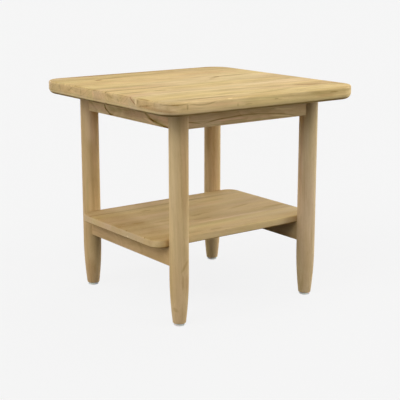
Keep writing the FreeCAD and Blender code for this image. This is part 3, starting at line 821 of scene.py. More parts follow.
TOP_WOOD = Timber(
    "top_wood", pale=(221, 194, 143), bands=1.2, flames=1.1, rings=0.4,
    marks=(
        Mark((0.150, 0.068), 0.170, 0.016, 0.8, slope=0.08, bow=-0.004),
        Mark((0.105, 0.060), 0.026, 0.014, 0.9, slope=0.4),
        Mark((0.080, 0.044), 0.060, 0.022, 0.3, slope=0.8),
        Mark((-0.172, 0.173), 0.026, 0.016, 1.0, slope=0.3, warm=3.0),
        Mark((-0.120, 0.194), 0.150, 0.016, 0.7, slope=0.15, bow=-0.01, warm=-1.0),
        Mark((-0.200, 0.026), 0.190, 0.034, 0.6, warm=-1.0),
        Mark((-0.180, -0.026), 0.280, 0.014, 1.0),
        Mark((-0.235, -0.080), 0.080, 0.020, 0.6, warm=1.0),
        Mark((-0.163, -0.080), 0.040, 0.013, 0.8),
        Mark((-0.060, -0.152), 0.260, 0.016, 0.5, slope=-0.1),
        Mark((-0.250, -0.125), 0.070, 0.050, 0.1, warm=1.0),
        Mark((0.180, -0.190), 0.080, 0.030, 0.7, slope=-0.25, warm=0.6),
        Mark((0.030, -0.235), 0.160, 0.014, 0.6, slope=0.15),
        Mark((-0.160, -0.244), 0.180, 0.016, 0.6),
        Mark((0.120, 0.150), 0.200, 0.050, 0.05, warm=1.0),
        Mark((-0.100, 0.175), 0.110, 0.030, 0.0, warm=1.0),
        Mark((0.205, 0.128), 0.050, 0.024, 0.1, warm=1.0),
        Mark((-0.245, 0.175), 0.080, 0.050, 0.1, warm=-1.0),
        Mark((0.150, 0.030), 0.160, 0.040, 0.0, warm=-1.0),
        # Painted shade: a dark band along the far rim, where the rounded edge turns away from the light.
        # The broad bands after it make the top darker towards the back and paler towards the front.
        Mark((0.030, 0.262), 0.560, 0.034, 0.75),
        Mark((0.000, 0.222), 0.900, 0.100, 0.30),
        Mark((0.020, -0.132), 0.700, 0.110, -0.28),
        Mark((-0.150, -0.205), 0.250, 0.060, 0.15),
        # Painted shade along the far rim at the right corner.
        Mark((0.235, 0.250), 0.080, 0.034, 0.4, slope=-0.3),
        *lying_on(
            Face.END,
            Mark((0.027, 0.509), 0.008, 0.022, -0.35, warm=1.0),
            Mark((0.000, 0.508), 0.050, 0.020, -0.15, warm=0.6),
            Mark((-0.138, 0.512), 0.027, 0.007, 0.65, slope=0.61, warm=3.0),
            Mark((-0.151, 0.510), 0.008, 0.020, -0.5),
            Mark((-0.160, 0.512), 0.006, 0.018, 0.7),
            Mark((-0.182, 0.5185), 0.050, 0.0035, 0.7),
            Mark((0.050, 0.5175), 0.160, 0.003, 0.35, bow=0.002),
            Mark((-0.100, 0.518), 0.090, 0.003, 0.5),
            Mark((0.132, 0.510), 0.030, 0.005, 0.45, slope=-0.48),
            Mark((0.082, 0.508), 0.006, 0.018, 0.5),
            Mark((-0.045, 0.512), 0.030, 0.010, 0.5, slope=0.2),
            Mark((-0.080, 0.507), 0.010, 0.008, 0.5, slope=0.6),
            Mark((0.181, 0.510), 0.006, 0.018, 0.35),
            Mark((-0.190, 0.506), 0.060, 0.006, 0.5, slope=-0.16),
            Mark((-0.225, 0.502), 0.100, 0.012, 0.4, slope=0.05, warm=1.0),
            Mark((0.120, 0.505), 0.060, 0.010, -0.25, warm=1.0),
            Mark((-0.090, 0.502), 0.070, 0.010, -0.3, warm=1.0),
            Mark((0.075, 0.508), 0.070, 0.034, 0.0, warm=0.8),
            Mark((-0.195, 0.508), 0.080, 0.034, 0.0, warm=0.6),
            # Painted light: a paler band along the lower round of the two ends.
            Mark((0.000, 0.4957), 1.100, 0.008, -0.6),
        ),
        *lying_on(
            Face.LONG_SIDE,
            Mark((-0.2265, 0.5095), 0.005, 0.018, 0.6),
            Mark((-0.250, 0.5145), 0.060, 0.004, 0.65, slope=0.06, bow=0.002),
            Mark((-0.186, 0.5115), 0.080, 0.0045, 0.7, bow=0.006),
            Mark((-0.093, 0.504), 0.005, 0.012, 0.4),
            Mark((-0.063, 0.503), 0.024, 0.003, 0.6),
            Mark((0.016, 0.508), 0.014, 0.003, 0.7),
            Mark((0.000, 0.508), 0.900, 0.030, -0.22),
            Mark((0.190, 0.512), 0.180, 0.012, 0.45, warm=-0.5),
            Mark((0.165, 0.504), 0.060, 0.012, 0.2, warm=1.0),
            Mark((0.190, 0.5105), 0.030, 0.006, 0.5),
            Mark((-0.125, 0.508), 0.100, 0.012, -0.1, warm=1.0),
            Mark((-0.030, 0.512), 0.160, 0.010, 0.0, warm=-1.0),
            Mark((-0.113, 0.519), 0.016, 0.003, -0.6),
        ),
        *lying_on(
            # Painted shade and light all round the top: a dark line where the lower round turns under, and
            # a paler band just above it.
            Face.ALL_ROUND,
            Mark((0.0, 0.4917), 1.0, 0.0055, 1.05),
            Mark((0.0, 0.4962), 1.0, 0.007, -0.5),
        ),
    ),
)
# The shelf's pale tone is set below the top's: partly its own tone, partly painted shade from the top above
# it.
SHELF_WOOD = Timber(
    "shelf_wood", pale=(212, 186, 140), bands=1.0, flames=0.4, streaks=0.1, rings=0.12,
    marks=(
        # Painted shade and light: the shelf darker towards its left end, and paler towards its right end
        # and front right.
        Mark((-0.235, 0.000), 0.190, 0.900, 0.45),
        Mark((-0.160, 0.040), 0.400, 0.400, 0.20),
        Mark((0.190, 0.040), 0.300, 0.450, -0.25),
        Mark((0.100, -0.110), 0.500, 0.120, -0.10),
        Mark((-0.020, 0.120), 0.560, 0.014, 0.5),
        Mark((-0.093, 0.090), 0.034, 0.016, 0.6),
        Mark((0.105, 0.084), 0.100, 0.025, 0.3),
        Mark((-0.174, -0.002), 0.034, 0.016, 0.2),
        Mark((-0.220, 0.009), 0.034, 0.014, 0.2),
        Mark((-0.112, -0.025), 0.080, 0.020, 0.3),
        Mark((-0.004, -0.016), 0.080, 0.014, 0.4),
        Mark((0.121, -0.010), 0.090, 0.014, 0.5, slope=0.2),
        Mark((-0.029, -0.058), 0.060, 0.018, 0.4),
        Mark((0.196, -0.058), 0.080, 0.018, 0.5),
        Mark((0.060, -0.085), 0.260, 0.014, -0.4),
        Mark((-0.058, -0.154), 0.040, 0.012, 0.5),
        Mark((-0.116, -0.150), 0.060, 0.014, 0.3),
        Mark((-0.055, 0.134), 0.090, 0.030, 0.1, warm=1.0),
        Mark((0.067, 0.121), 0.080, 0.020, 0.2, warm=-1.0),
        Mark((-0.020, -0.110), 0.240, 0.030, 0.0, warm=-1.0),
        Mark((0.055, 0.060), 0.180, 0.040, -0.1, warm=1.0),
        *lying_on(
            Face.END,
            Mark((0.035, 0.198), 0.016, 0.004, -0.6),
            Mark((-0.115, 0.197), 0.006, 0.006, -0.6),
            Mark((-0.121, 0.197), 0.005, 0.008, 0.8),
            Mark((-0.050, 0.184), 0.008, 0.006, -0.5),
            Mark((-0.045, 0.197), 0.008, 0.006, 0.6),
        ),
        *lying_on(Face.LONG_SIDE, Mark((0.0, 0.189), 1.0, 0.024, -0.25)),
        # Painted shade: a dark line all round where the shelf's lower edge turns under.
        *lying_on(Face.ALL_ROUND, Mark((0.0, 0.1797), 1.0, 0.003, 1.5)),
    ),
)
LEG_WOOD = Timber(
    "leg_wood", pale=(218, 190, 144), green=(255, 254, 253), blush=(255, 249, 252), gold=(255, 254, 240),
    rings=0.12, streaks=0.3,
)
LEG_WOODS = {
    Corner.FRONT_LEFT: replace(
        LEG_WOOD, pale=(217, 189, 142),
        marks=lying_on(
            Face.TURNED,
            # Painted light and shade: a paler left half and a darker, redder right half of the leg. The
            # right half is partly a reddish streak in the wood.
            Mark((0.360, -0.012), 0.500, 0.030, -0.25, warm=-0.3),
            Mark((0.400, 0.014), 0.320, 0.026, 0.2, warm=1.0),
            Mark((0.1415, 0.0125), 0.030, 0.010, 0.40, slope=0.52),
            Mark((0.104, 0.009), 0.038, 0.008, 0.35, warm=1.0),
            Mark((0.160, 0.014), 0.080, 0.020, 0.2),
            Mark((0.102, 0.018), 0.044, 0.010, 0.22, warm=1.0),
            Mark((0.040, -0.009), 0.012, 0.016, 0.3, slope=-0.5),
            Mark((0.020, -0.010), 0.100, 0.030, -0.25),
        ),
    ),
    Corner.FRONT_RIGHT: replace(
        LEG_WOOD, pale=(220, 196, 155),
        marks=lying_on(
            Face.TURNED,
            Mark((0.380, -0.016), 0.300, 0.008, 0.15, warm=1.0),
            Mark((0.300, 0.010), 0.400, 0.010, -0.1),
            # Painted light: paler under the top, where the top shades the leg.
            Mark((0.400, -0.010), 0.200, 0.040, -0.3),
            Mark((0.090, 0.000), 0.160, 0.030, 0.2),
        ),
    ),
    Corner.BACK_LEFT: replace(
        LEG_WOOD, pale=(217, 188, 143),
        marks=lying_on(
            Face.TURNED,
            Mark((0.320, 0.006), 0.340, 0.012, 0.2, warm=0.6),
            Mark((0.235, -0.008), 0.120, 0.010, 0.2, warm=-1.0),
            # Painted light: paler near the upper end, where the top shades the leg.
            Mark((0.440, 0.004), 0.160, 0.050, -0.6),
            Mark((0.370, 0.012), 0.160, 0.020, -0.25, warm=0.5),
            Mark((0.020, -0.004), 0.120, 0.040, 0.3, warm=1.0),
        ),
    ),
    Corner.BACK_RIGHT: replace(
        LEG_WOOD, pale=(218, 190, 145),
        marks=lying_on(
            Face.TURNED,
            Mark((0.330, 0.004), 0.260, 0.010, 0.3, warm=0.6),
            Mark((0.360, -0.010), 0.120, 0.020, 0.3, warm=0.5),
            Mark((0.235, -0.010), 0.120, 0.010, -0.2),
        ),
    ),
}
# The rails' pale tone is set below the top's: partly their own tone, partly painted shade from the shelf
# above them.
RAIL_WOOD = Timber("rail_wood", pale=(210, 180, 134), blush=(255, 248, 252))
BLOCK_WOOD = Timber("block_wood", gloss=0.05, roughness=0.7)
DOWEL_WOOD = Timber("dowel_wood", gloss=0.05, roughness=0.7, sawn=False)

# The aprons' pale tones are set above the top's, the left and back ones most: partly their own tone, partly
# painted light against the shade under the top.
APRON_WOOD = Timber(
    "apron_wood", pale=(225, 198, 150), green=(255, 254, 253), blush=(255, 247, 252), gold=(255, 254, 242)
)
FLAT_SAWN_APRON = replace(
    APRON_WOOD, pale=(235, 206, 159),
    marks=lying_on(
        Face.END,
        Mark((0.096, 0.468), 0.014, 0.014, 0.9, slope=1.6),
        Mark((0.081, 0.4555), 0.040, 0.007, 1.05, slope=0.55),
        Mark((0.068, 0.4515), 0.020, 0.008, 0.6, warm=-2.0),
        Mark((-0.093, 0.4640), 0.046, 0.010, 0.65, slope=0.44),
        Mark((-0.130, 0.4550), 0.100, 0.005, 0.5, slope=0.17),
        Mark((-0.135, 0.4540), 0.085, 0.014, 0.6, slope=0.16, warm=-2.0),
        Mark((-0.160, 0.4500), 0.030, 0.004, 0.8),
        Mark((-0.068, 0.4725), 0.050, 0.004, 0.9),
        Mark((-0.095, 0.4560), 0.060, 0.007, -0.4, slope=0.2),
        Mark((-0.130, 0.471), 0.090, 0.016, -0.35, slope=0.1, warm=0.2),
        Mark((0.135, 0.462), 0.100, 0.018, -0.2, warm=1.0),
        Mark((0.050, 0.466), 0.080, 0.014, 0.2, warm=-1.0),
        Mark((-0.030, 0.462), 0.100, 0.020, 0.2, warm=1.0),
        # Painted shade: a thin dark line along the apron's rounded lower edge.
        Mark((0.000, 0.4505), 0.240, 0.003, 0.6),
    ),
)
ARCHED_APRON = replace(
    APRON_WOOD,
    marks=lying_on(
        Face.LONG_SIDE,
        Mark((0.015, 0.4655), 0.320, 0.005, 0.75, slope=-0.034, bow=-0.0165),
        Mark((-0.095, 0.462), 0.050, 0.004, 0.5, slope=0.12),
        Mark((-0.055, 0.460), 0.100, 0.008, -0.5, warm=1.0),
        Mark((-0.160, 0.4615), 0.050, 0.005, 0.7, slope=-0.17),
        Mark((0.101, 0.470), 0.060, 0.005, -0.3, slope=-0.08, warm=-1.0),
        Mark((0.095, 0.4550), 0.080, 0.005, -0.5, slope=-0.10, warm=-1.0),
        # Painted shade: a thin dark line along the apron's rounded lower edge.
        Mark((0.000, 0.4515), 0.300, 0.003, 0.5),
        Mark((0.020, 0.458), 0.120, 0.010, 0.0, warm=1.0),
    ),
)
APRON_WOODS = {
    "front": ARCHED_APRON,
    "right": replace(ARCHED_APRON, marks=lying_on(Face.END, *ARCHED_APRON.marks)),
    "back": replace(FLAT_SAWN_APRON, marks=lying_on(Face.LONG_SIDE, *FLAT_SAWN_APRON.marks)),
    "left": FLAT_SAWN_APRON,
}
ZINC = ZincPlate("zinc_steel")
PLASTIC = GlidePlastic("glide_plastic")


# Boards and their place in the log ------------------------------------------------------


@dataclass(frozen=True)
class Sawn:
    """How a board was sawn from its log.

    Attributes:
        along: The way of the grain.
        across: A way across the grain. The third way is along cross across.
        pith: From the pith to the origin of the table, across the grain, both ways.
        lean: How far the pith drifts in each of these ways, per metre of the board.
        part: The stretch of the log that the board is from, which picks its figure.
        tint: How much lighter than the rest the board is, as a share.
    """

    along: Vector
    across: Vector
    pith: Pair
    lean: Pair = (0.0, 0.0)
    part: float = 0.0
    tint: float = 0.0

    def in_log(self, point: Vector) -> Vector:
        """Where a point of the board lay in the log.

        Args:
            point: The point, in the table's own coordinates.

        Returns:
            Its place in the log, with the pith along Z.
        """
        along = point.dot(self.along)
        first = point.dot(self.across) + self.pith[0] + self.lean[0] * along
        second = point.dot(self.along.cross(self.across)) + self.pith[1] + self.lean[1] * along
        return Vector((first, second, along + self.part))


def mark_grain(mesh: bpy.types.Mesh, board_at: Callable[[Vector], Sawn]) -> None:
    """Writes to a mesh where its corners lay in the log, for the timber finishes.

    Args:
        mesh: The mesh, in the table's own coordinates.
        board_at: Gives the board that the middle of a face belongs to.
    """
    place = mesh.attributes.new("log", "FLOAT_VECTOR", "CORNER")
    board = mesh.attributes.new("board", "FLOAT_VECTOR", "CORNER")
    for face in mesh.polygons:
        sawn = board_at(face.center)
        for corner in face.loop_indices:
            vertex = mesh.vertices[mesh.loops[corner].vertex_index]
            end = mesh.corner_normals[corner].vector.dot(sawn.along) ** 2
            place.data[corner].vector = sawn.in_log(vertex.co)
            board.data[corner].vector = (sawn.tint, end, 0.0)


# Meshes ---------------------------------------------------------------------------------


def arc(radius: float, steps: int) -> list[Pair]:
    """A quarter round as pairs of sine and cosine sides, from (0, radius) to (radius, 0)."""
    turns = (math.pi / 2 * step / steps for step in range(steps + 1))
    return [(radius * math.sin(turn), radius * math.cos(turn)) for turn in turns]


def lathe(profile: Profile, segments: int, closed: bool = False) -> bmesh.types.BMesh:
    """Turns a profile about Z.

    Args:
        profile: Radius and height of each point, upwards along the outside.
        segments: Number of facets round the axis.
        closed: Whether the last point joins the first, as on a ring.

    Returns:
        The turned mesh.
    """
    mesh = bmesh.new()
    rings = []
    for radius, height in profile:
        if radius == 0:
            rings.append([mesh.verts.new((0, 0, height))])
            continue
        turns = (math.tau * step / segments for step in range(segments))
        rings.append([mesh.verts.new((radius * math.cos(t), radius * math.sin(t), height)) for t in turns])
    pairs = list(zip(rings, rings[1:]))
    if closed:
        pairs.append((rings[-1], rings[0]))
    for low, high in pairs:
        for step in range(segments):
            after = (step + 1) % segments
            corners = [
                low[step % len(low)], low[after % len(low)], high[after % len(high)], high[step % len(high)]
            ]
            mesh.faces.new(list(dict.fromkeys(corners)))
    bmesh.ops.recalc_face_normals(mesh, faces=mesh.faces)
    return mesh


def block(low: Vector, high: Vector) -> bmesh.types.BMesh:
    """A box between two corners.

    Args:
        low: Its lowest corner.
        high: Its highest corner.

    Returns:
        The box as a working mesh.
    """
    mesh = bmesh.new()
    size = high - low
    place = Matrix.Translation((low + high) / 2) @ Matrix.Diagonal((*size, 1))
    bmesh.ops.create_cube(mesh, size=1, matrix=place)
    return mesh


def to_mesh(name: str, shape: bmesh.types.BMesh, smooth_below: float = 35.0) -> bpy.types.Mesh:
    """Turns a working mesh into a finished one.

    Args:
        name: The mesh's name.
        shape: The working mesh, which is freed.
        smooth_below: Edges that bend by fewer degrees than this are shaded smooth.

    Returns:
        The mesh.
    """
    mesh = bpy.data.meshes.new(name)
    shape.to_mesh(mesh)
    shape.free()
    mesh.polygons.foreach_set("use_smooth", [True] * len(mesh.polygons))
    mesh.set_sharp_from_angle(angle=math.radians(smooth_below))
    return mesh


def repeat(shape: bmesh.types.BMesh, places: Sequence[Matrix]) -> bmesh.types.BMesh:
    """Copies a working mesh to several places.

    Args:
        shape: The mesh that is copied. It is freed.
        places: Where the copies go.

    Returns:
        All the copies as one working mesh.
    """
    single = bpy.data.meshes.new("single")
    shape.to_mesh(single)
    shape.free()
    joined = bmesh.new()
    for place in places:
        before = len(joined.verts)
        joined.from_mesh(single)
        joined.verts.ensure_lookup_table()
        bmesh.ops.transform(joined, matrix=place, verts=joined.verts[before:])
    bpy.data.meshes.remove(single)
    return joined


def combine(
    shape: bmesh.types.BMesh, others: Sequence[bmesh.types.BMesh], operation: str
) -> bmesh.types.BMesh:
    """Cuts a closed mesh with others, or keeps what they have in common.

    Args:
        shape: The mesh that is cut. It is freed.
        others: The cutting meshes. They are freed.
        operation: DIFFERENCE or INTERSECT.

    Returns:
        The result.
    """
    collection = bpy.context.scene.collection
    objects = []
    for number, part in enumerate((shape, *others)):
        item = bpy.data.objects.new(f"work_{number}", to_mesh(f"work_{number}", part))
        collection.objects.link(item)
        objects.append(item)
    body, *cutters = objects
    for cutter in cutters:
        step = body.modifiers.new(cutter.name, "BOOLEAN")
        step.object, step.operation, step.solver = cutter, operation, "EXACT"
    bpy.context.view_layer.update()
    result = bmesh.new()
    result.from_object(body, bpy.context.evaluated_depsgraph_get())
    for item in objects:
        bpy.data.meshes.remove(item.data)
    return result


def facing(direction: Vector, place: Vector) -> Matrix:
    """The placing that turns Z to a direction and moves the origin to a place."""
    return Matrix.Translation(place) @ direction.to_track_quat("Z", "Y").to_matrix().to_4x4()


def loose_boxes(node: str) -> list[tuple[Vector, Vector]]:
    """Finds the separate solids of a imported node.

    Args:
        node: The node.

    Returns:
        The lowest and highest corner of each solid, in order of their places.
    """
    mesh = bmesh.new()
    mesh.from_mesh(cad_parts[node].data)
    bmesh.ops.remove_doubles(mesh, verts=mesh.verts, dist=WELD)
    unseen = set(mesh.verts)
    boxes = []
    while unseen:
        reached = [unseen.pop()]
        for vertex in reached:
            near = {edge.other_vert(vertex) for edge in vertex.link_edges} & unseen
            unseen -= near
            reached.extend(near)
        sides = list(zip(*(vertex.co for vertex in reached)))
        boxes.append((Vector(map(min, sides)), Vector(map(max, sides))))
    mesh.free()
    return sorted(boxes, key=lambda box: tuple(box[0]))


def show(name: str, mesh: bpy.types.Mesh, finish: Finish, nodes: Sequence[str]) -> bpy.types.Object:
    """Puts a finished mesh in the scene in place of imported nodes.

    Args:
        name: The piece's name.
        mesh: Its mesh, in the table's own coordinates.
        finish: What it is made of.
        nodes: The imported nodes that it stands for.

    Returns:
        The piece.
    """
    mesh.materials.append(finish.material())
    piece = bpy.data.objects.new(name, mesh)
    bpy.context.scene.collection.objects.link(piece)
    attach(piece, BODY)
    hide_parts(*nodes)
    log.info("%s: %d faces, %s", name, len(mesh.polygons), finish.slot)
    return piece


def flat_faces_stay_flat(piece: bpy.types.Object) -> None:
    """Shades the broad faces of a piece flat and only its rounded edges smooth.

    Args:
        piece: The piece.
    """
    step = piece.modifiers.new("even_shading", "WEIGHTED_NORMAL")
    step.keep_sharp = True
    step.weight = 100


# The top and the shelf ------------------------------------------------------------------


@dataclass
class GluedPanel:
    """A panel of edge-glued boards with rounded corners and edges.

    Attributes:
        node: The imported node, and the piece's name.
        finish: Its timber.
        corner: Radius of the corners in plan.
        upper_round: Rounding of the upper edge.
        lower_round: Rounding of the lower edge.
        joints: Where the glue joints are, from front to back.
        boards: The boards, from front to back: one more than the joints.
    """

    node: str
    finish: Timber
    corner: float
    upper_round: float
    lower_round: float
    joints: tuple[float, ...]
    boards: tuple[Sawn, ...]

    CORNER_STEPS = 20
    ROUND_STEPS = 8

    def outline(self, inset: float, height: float) -> list[Vector]:
        """The panel's rounded outline at one level.

        Args:
            inset: How far it is drawn in.
            height: Its height.

        Returns:
            Its points, one way round.
        """
        _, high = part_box(self.node)
        reach = self.corner - inset
        points = []
        for number, (side_x, side_y) in enumerate(((1, 1), (-1, 1), (-1, -1), (1, -1))):
            centre = Vector((side_x * (high.x - self.corner), side_y * (high.y - self.corner)))
            for step in range(self.CORNER_STEPS + 1):
                turn = math.pi / 2 * (number + step / self.CORNER_STEPS)
                x, y = centre.x + reach * math.cos(turn), centre.y + reach * math.sin(turn)
                points.append(Vector((x, y, height)))
        return points

    def shape(self) -> bmesh.types.BMesh:
        """The panel as a stack of outlines, cut along its glue joints.

        Returns:
            The panel as a working mesh.
        """
        low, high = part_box(self.node)
        lower = [
            (self.lower_round - side, low.z + self.lower_round - rise)
            for side, rise in arc(self.lower_round, self.ROUND_STEPS)
        ]
        upper = [
            (self.upper_round - side, high.z - self.upper_round + rise)
            for rise, side in arc(self.upper_round, self.ROUND_STEPS)
        ]
        mesh = bmesh.new()
        rings = [[mesh.verts.new(point) for point in self.outline(*level)] for level in lower + upper]
        for below, above in zip(rings, rings[1:]):
            for step in range(len(below)):
                after = (step + 1) % len(below)
                mesh.faces.new((below[step], below[after], above[after], above[step]))
        mesh.faces.new(reversed(rings[0]))
        mesh.faces.new(rings[-1])
        for joint in self.joints:
            everything = [*mesh.verts, *mesh.edges, *mesh.faces]
            bmesh.ops.bisect_plane(mesh, geom=everything, plane_co=joint * Y, plane_no=Y)
        return mesh

    def board_at(self, point: Vector) -> Sawn:
        """The board that a point of the panel is in."""
        return self.boards[sum(point.y > joint for joint in self.joints)]

    def build(self) -> None:
        """Makes the panel."""
        mesh = to_mesh(self.node, self.shape())
        mark_grain(mesh, self.board_at)
        flat_faces_stay_flat(show(self.node, mesh, self.finish, [self.node]))


# Legs, aprons and rails -----------------------------------------------------------------


@dataclass
class TurnedLeg:
    """A turned leg: a straight upper part, an arc down to the foot, and flat seats for the rails.

    Attributes:
        corner: Where it stands.
        board: How its blank was sawn.
        straight_from: Height at which the taper ends.
        foot_radius: Radius at the foot.
        foot_round: Rounding of the lower edge.
    """

    corner: Corner
    board: Sawn
    straight_from: float = 0.118
    foot_radius: float = 0.015
    foot_round: float = 0.002

    SEGMENTS = 96
    TAPER_STEPS = 16
    ROUND_STEPS = 5
    PROUD = 0.001  # How far the cutter stands above an apron, whose seat is open at the top.

    def profile(self, radius: float, low: float, high: float) -> list[Pair]:
        """The leg's outline, from the middle of its foot to the middle of its upper end.

        Args:
            radius: Radius of the straight part.
            low: Height of the foot.
            high: Height of the upper end.

        Returns:
            Radius and height of each point.
        """
        narrowing, length = radius - self.foot_radius, self.straight_from - low
        sweep = (length**2 + narrowing**2) / (2 * narrowing)

        def taper(height: float) -> float:
            """The radius at a height of the tapered part."""
            drop = self.straight_from - height
            return radius - sweep + math.sqrt(sweep**2 - drop**2)

        start = low + self.foot_round
        inner = taper(start) - self.foot_round
        points = [(0.0, low)]
        points += [(inner + side, start - drop) for side, drop in arc(self.foot_round, self.ROUND_STEPS)]
        for step in range(1, self.TAPER_STEPS + 1):
            height = start + (self.straight_from - start) * step / self.TAPER_STEPS
            points.append((taper(height), height))
        return points + [(radius, high), (0.0, high)]

    def rails(self) -> list[str]:
        """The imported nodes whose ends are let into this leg.

        Returns:
            Their names.
        """
        side_x, side_y = self.corner.value
        left_or_right = "left" if side_x < 0 else "right"
        front_or_back = "front" if side_y < 0 else "back"
        return [f"apron_{left_or_right}", f"apron_{front_or_back}", f"shelf_rail_{left_or_right}"]

    def build(self) -> None:
        """Turns the leg, mills its seats and marks its grain."""
        name = f"leg_{self.corner.node_name}"
        low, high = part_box(name)
        turned = lathe(self.profile((high.x - low.x) / 2, low.z, high.z), self.SEGMENTS)
        middle = (low + high) / 2
        turned.transform(Matrix.Translation((middle.x, middle.y, 0)))
        seats = []
        for rail in self.rails():
            start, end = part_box(rail)
            end.z += self.PROUD if rail.startswith("apron") else 0
            seats.append(block(start, end))
        mesh = to_mesh(name, combine(turned, seats, "DIFFERENCE"))
        mark_grain(mesh, lambda point: self.board)
        show(name, mesh, replace(LEG_WOODS[self.corner], origin=(middle.x, middle.y, 0.0)), [name])


@dataclass
class Rail:
    """A board between two legs, its lower long edges rounded and its ends a little eased.

    Attributes:
        node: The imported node, and the piece's name.
        finish: Its timber.
        board: How it was sawn. Its grain runs along the rail.
        edge_round: Rounding of the lower edges.
    """

    node: str
    finish: Timber
    board: Sawn
    edge_round: float = 0.0015

    ROUND_STEPS = 4
    EASED = 0.00025
    MOSTLY = 0.5  # Cosine above which an edge counts as running along.
    SHARP_FROM = 1.0  # Bend from which an edge is eased, in radians.

    def build(self) -> None:
        """Makes the rail."""
        low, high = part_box(self.node)
        shape = block(low, high)
        along = self.board.along

        def runs_along(edge: bmesh.types.BMEdge) -> bool:
            """Whether an edge runs along the rail rather than across it."""
            way = edge.verts[1].co - edge.verts[0].co
            return abs(way.normalized().dot(along)) > self.MOSTLY

        lower = [edge for edge in shape.edges if runs_along(edge) and edge.verts[0].co.z < high.z - WELD]
        bmesh.ops.bevel(
            shape, geom=lower, offset=self.edge_round, segments=self.ROUND_STEPS,
            affect="EDGES", profile=0.5,
        )
        crosswise = [edge for edge in shape.edges if not runs_along(edge)]
        rims = [edge for edge in crosswise if edge.calc_face_angle(0) > self.SHARP_FROM]
        bmesh.ops.bevel(shape, geom=rims, offset=self.EASED, segments=1, affect="EDGES")
        mesh = to_mesh(self.node, shape)
        mark_grain(mesh, lambda point: self.board)
        flat_faces_stay_flat(show(self.node, mesh, self.finish, [self.node]))


@dataclass
class CornerBlock:
    """A corner block behind the aprons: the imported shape, with eased edges and its own grain."""

    corner: Corner

    EASED = 0.0005
    FLAT_WITHIN = math.radians(1)
    SHARP_FROM = math.radians(50)
    PITH = (0.06, 0.03)
    LEAN = (0.02, 0.01)
    NEXT_PART = 3.1  # How far along the log the next block is from.

    def build(self) -> None:
        """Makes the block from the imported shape."""
        name = f"corner_block_{self.corner.node_name}"
        shape = bmesh.new()
        shape.from_mesh(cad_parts[name].data)
        bmesh.ops.remove_doubles(shape, verts=shape.verts, dist=WELD)
        bmesh.ops.dissolve_limit(shape, angle_limit=self.FLAT_WITHIN, verts=shape.verts, edges=shape.edges)
        sharp = [edge for edge in shape.edges if edge.calc_face_angle(0) > self.SHARP_FROM]
        bmesh.ops.bevel(shape, geom=sharp, offset=self.EASED, segments=2, affect="EDGES", profile=0.5)
        mesh = to_mesh(name, shape)
        along = self.corner.outward.cross(Z)
        side_x, side_y = self.corner.value
        board = Sawn(along, Z, self.PITH, self.LEAN, self.NEXT_PART * side_x + side_y)
        mark_grain(mesh, lambda point: board)
        flat_faces_stay_flat(show(name, mesh, BLOCK_WOOD, [name]))


# Glides and fasteners -------------------------------------------------------------------


@dataclass
class Glide:
    """A plastic glide: a disc with a bevelled tread and a recess for its nail.

    Attributes:
        corner: The leg that it is under.
        bevel: Width of the tread's bevel.
        recess_radius: Radius of the recess for the nail's head.
        recess: Depth of the recess.
        bore_radius: Radius of the hole for the nail.
    """

    corner: Corner
    bevel: float = 0.00075
    recess_radius: float = 0.0045
    recess: float = 0.0018
    bore_radius: float = 0.00145

    SEGMENTS = 64

    def build(self) -> None:
        """Turns the glide."""
        name = f"glide_{self.corner.node_name}"
        low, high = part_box(name)
        rim, top = (high.x - low.x) / 2, high.z - low.z
        soft = self.bevel / 4
        profile = [
            (self.bore_radius, self.recess), (self.recess_radius, self.recess),
            (self.recess_radius, soft), (self.recess_radius + soft, 0),
            (rim - self.bevel - soft, 0), (rim - self.bevel, soft / 4), (rim - soft / 4, self.bevel),
            (rim, self.bevel + soft), (rim, top - soft), (rim - soft, top), (self.bore_radius, top),
        ]
        shape = lathe(profile, self.SEGMENTS, closed=True)
        middle = (low + high) / 2
        shape.transform(Matrix.Translation((middle.x, middle.y, low.z)))
        flat_faces_stay_flat(show(name, to_mesh(name, shape), PLASTIC, [name]))


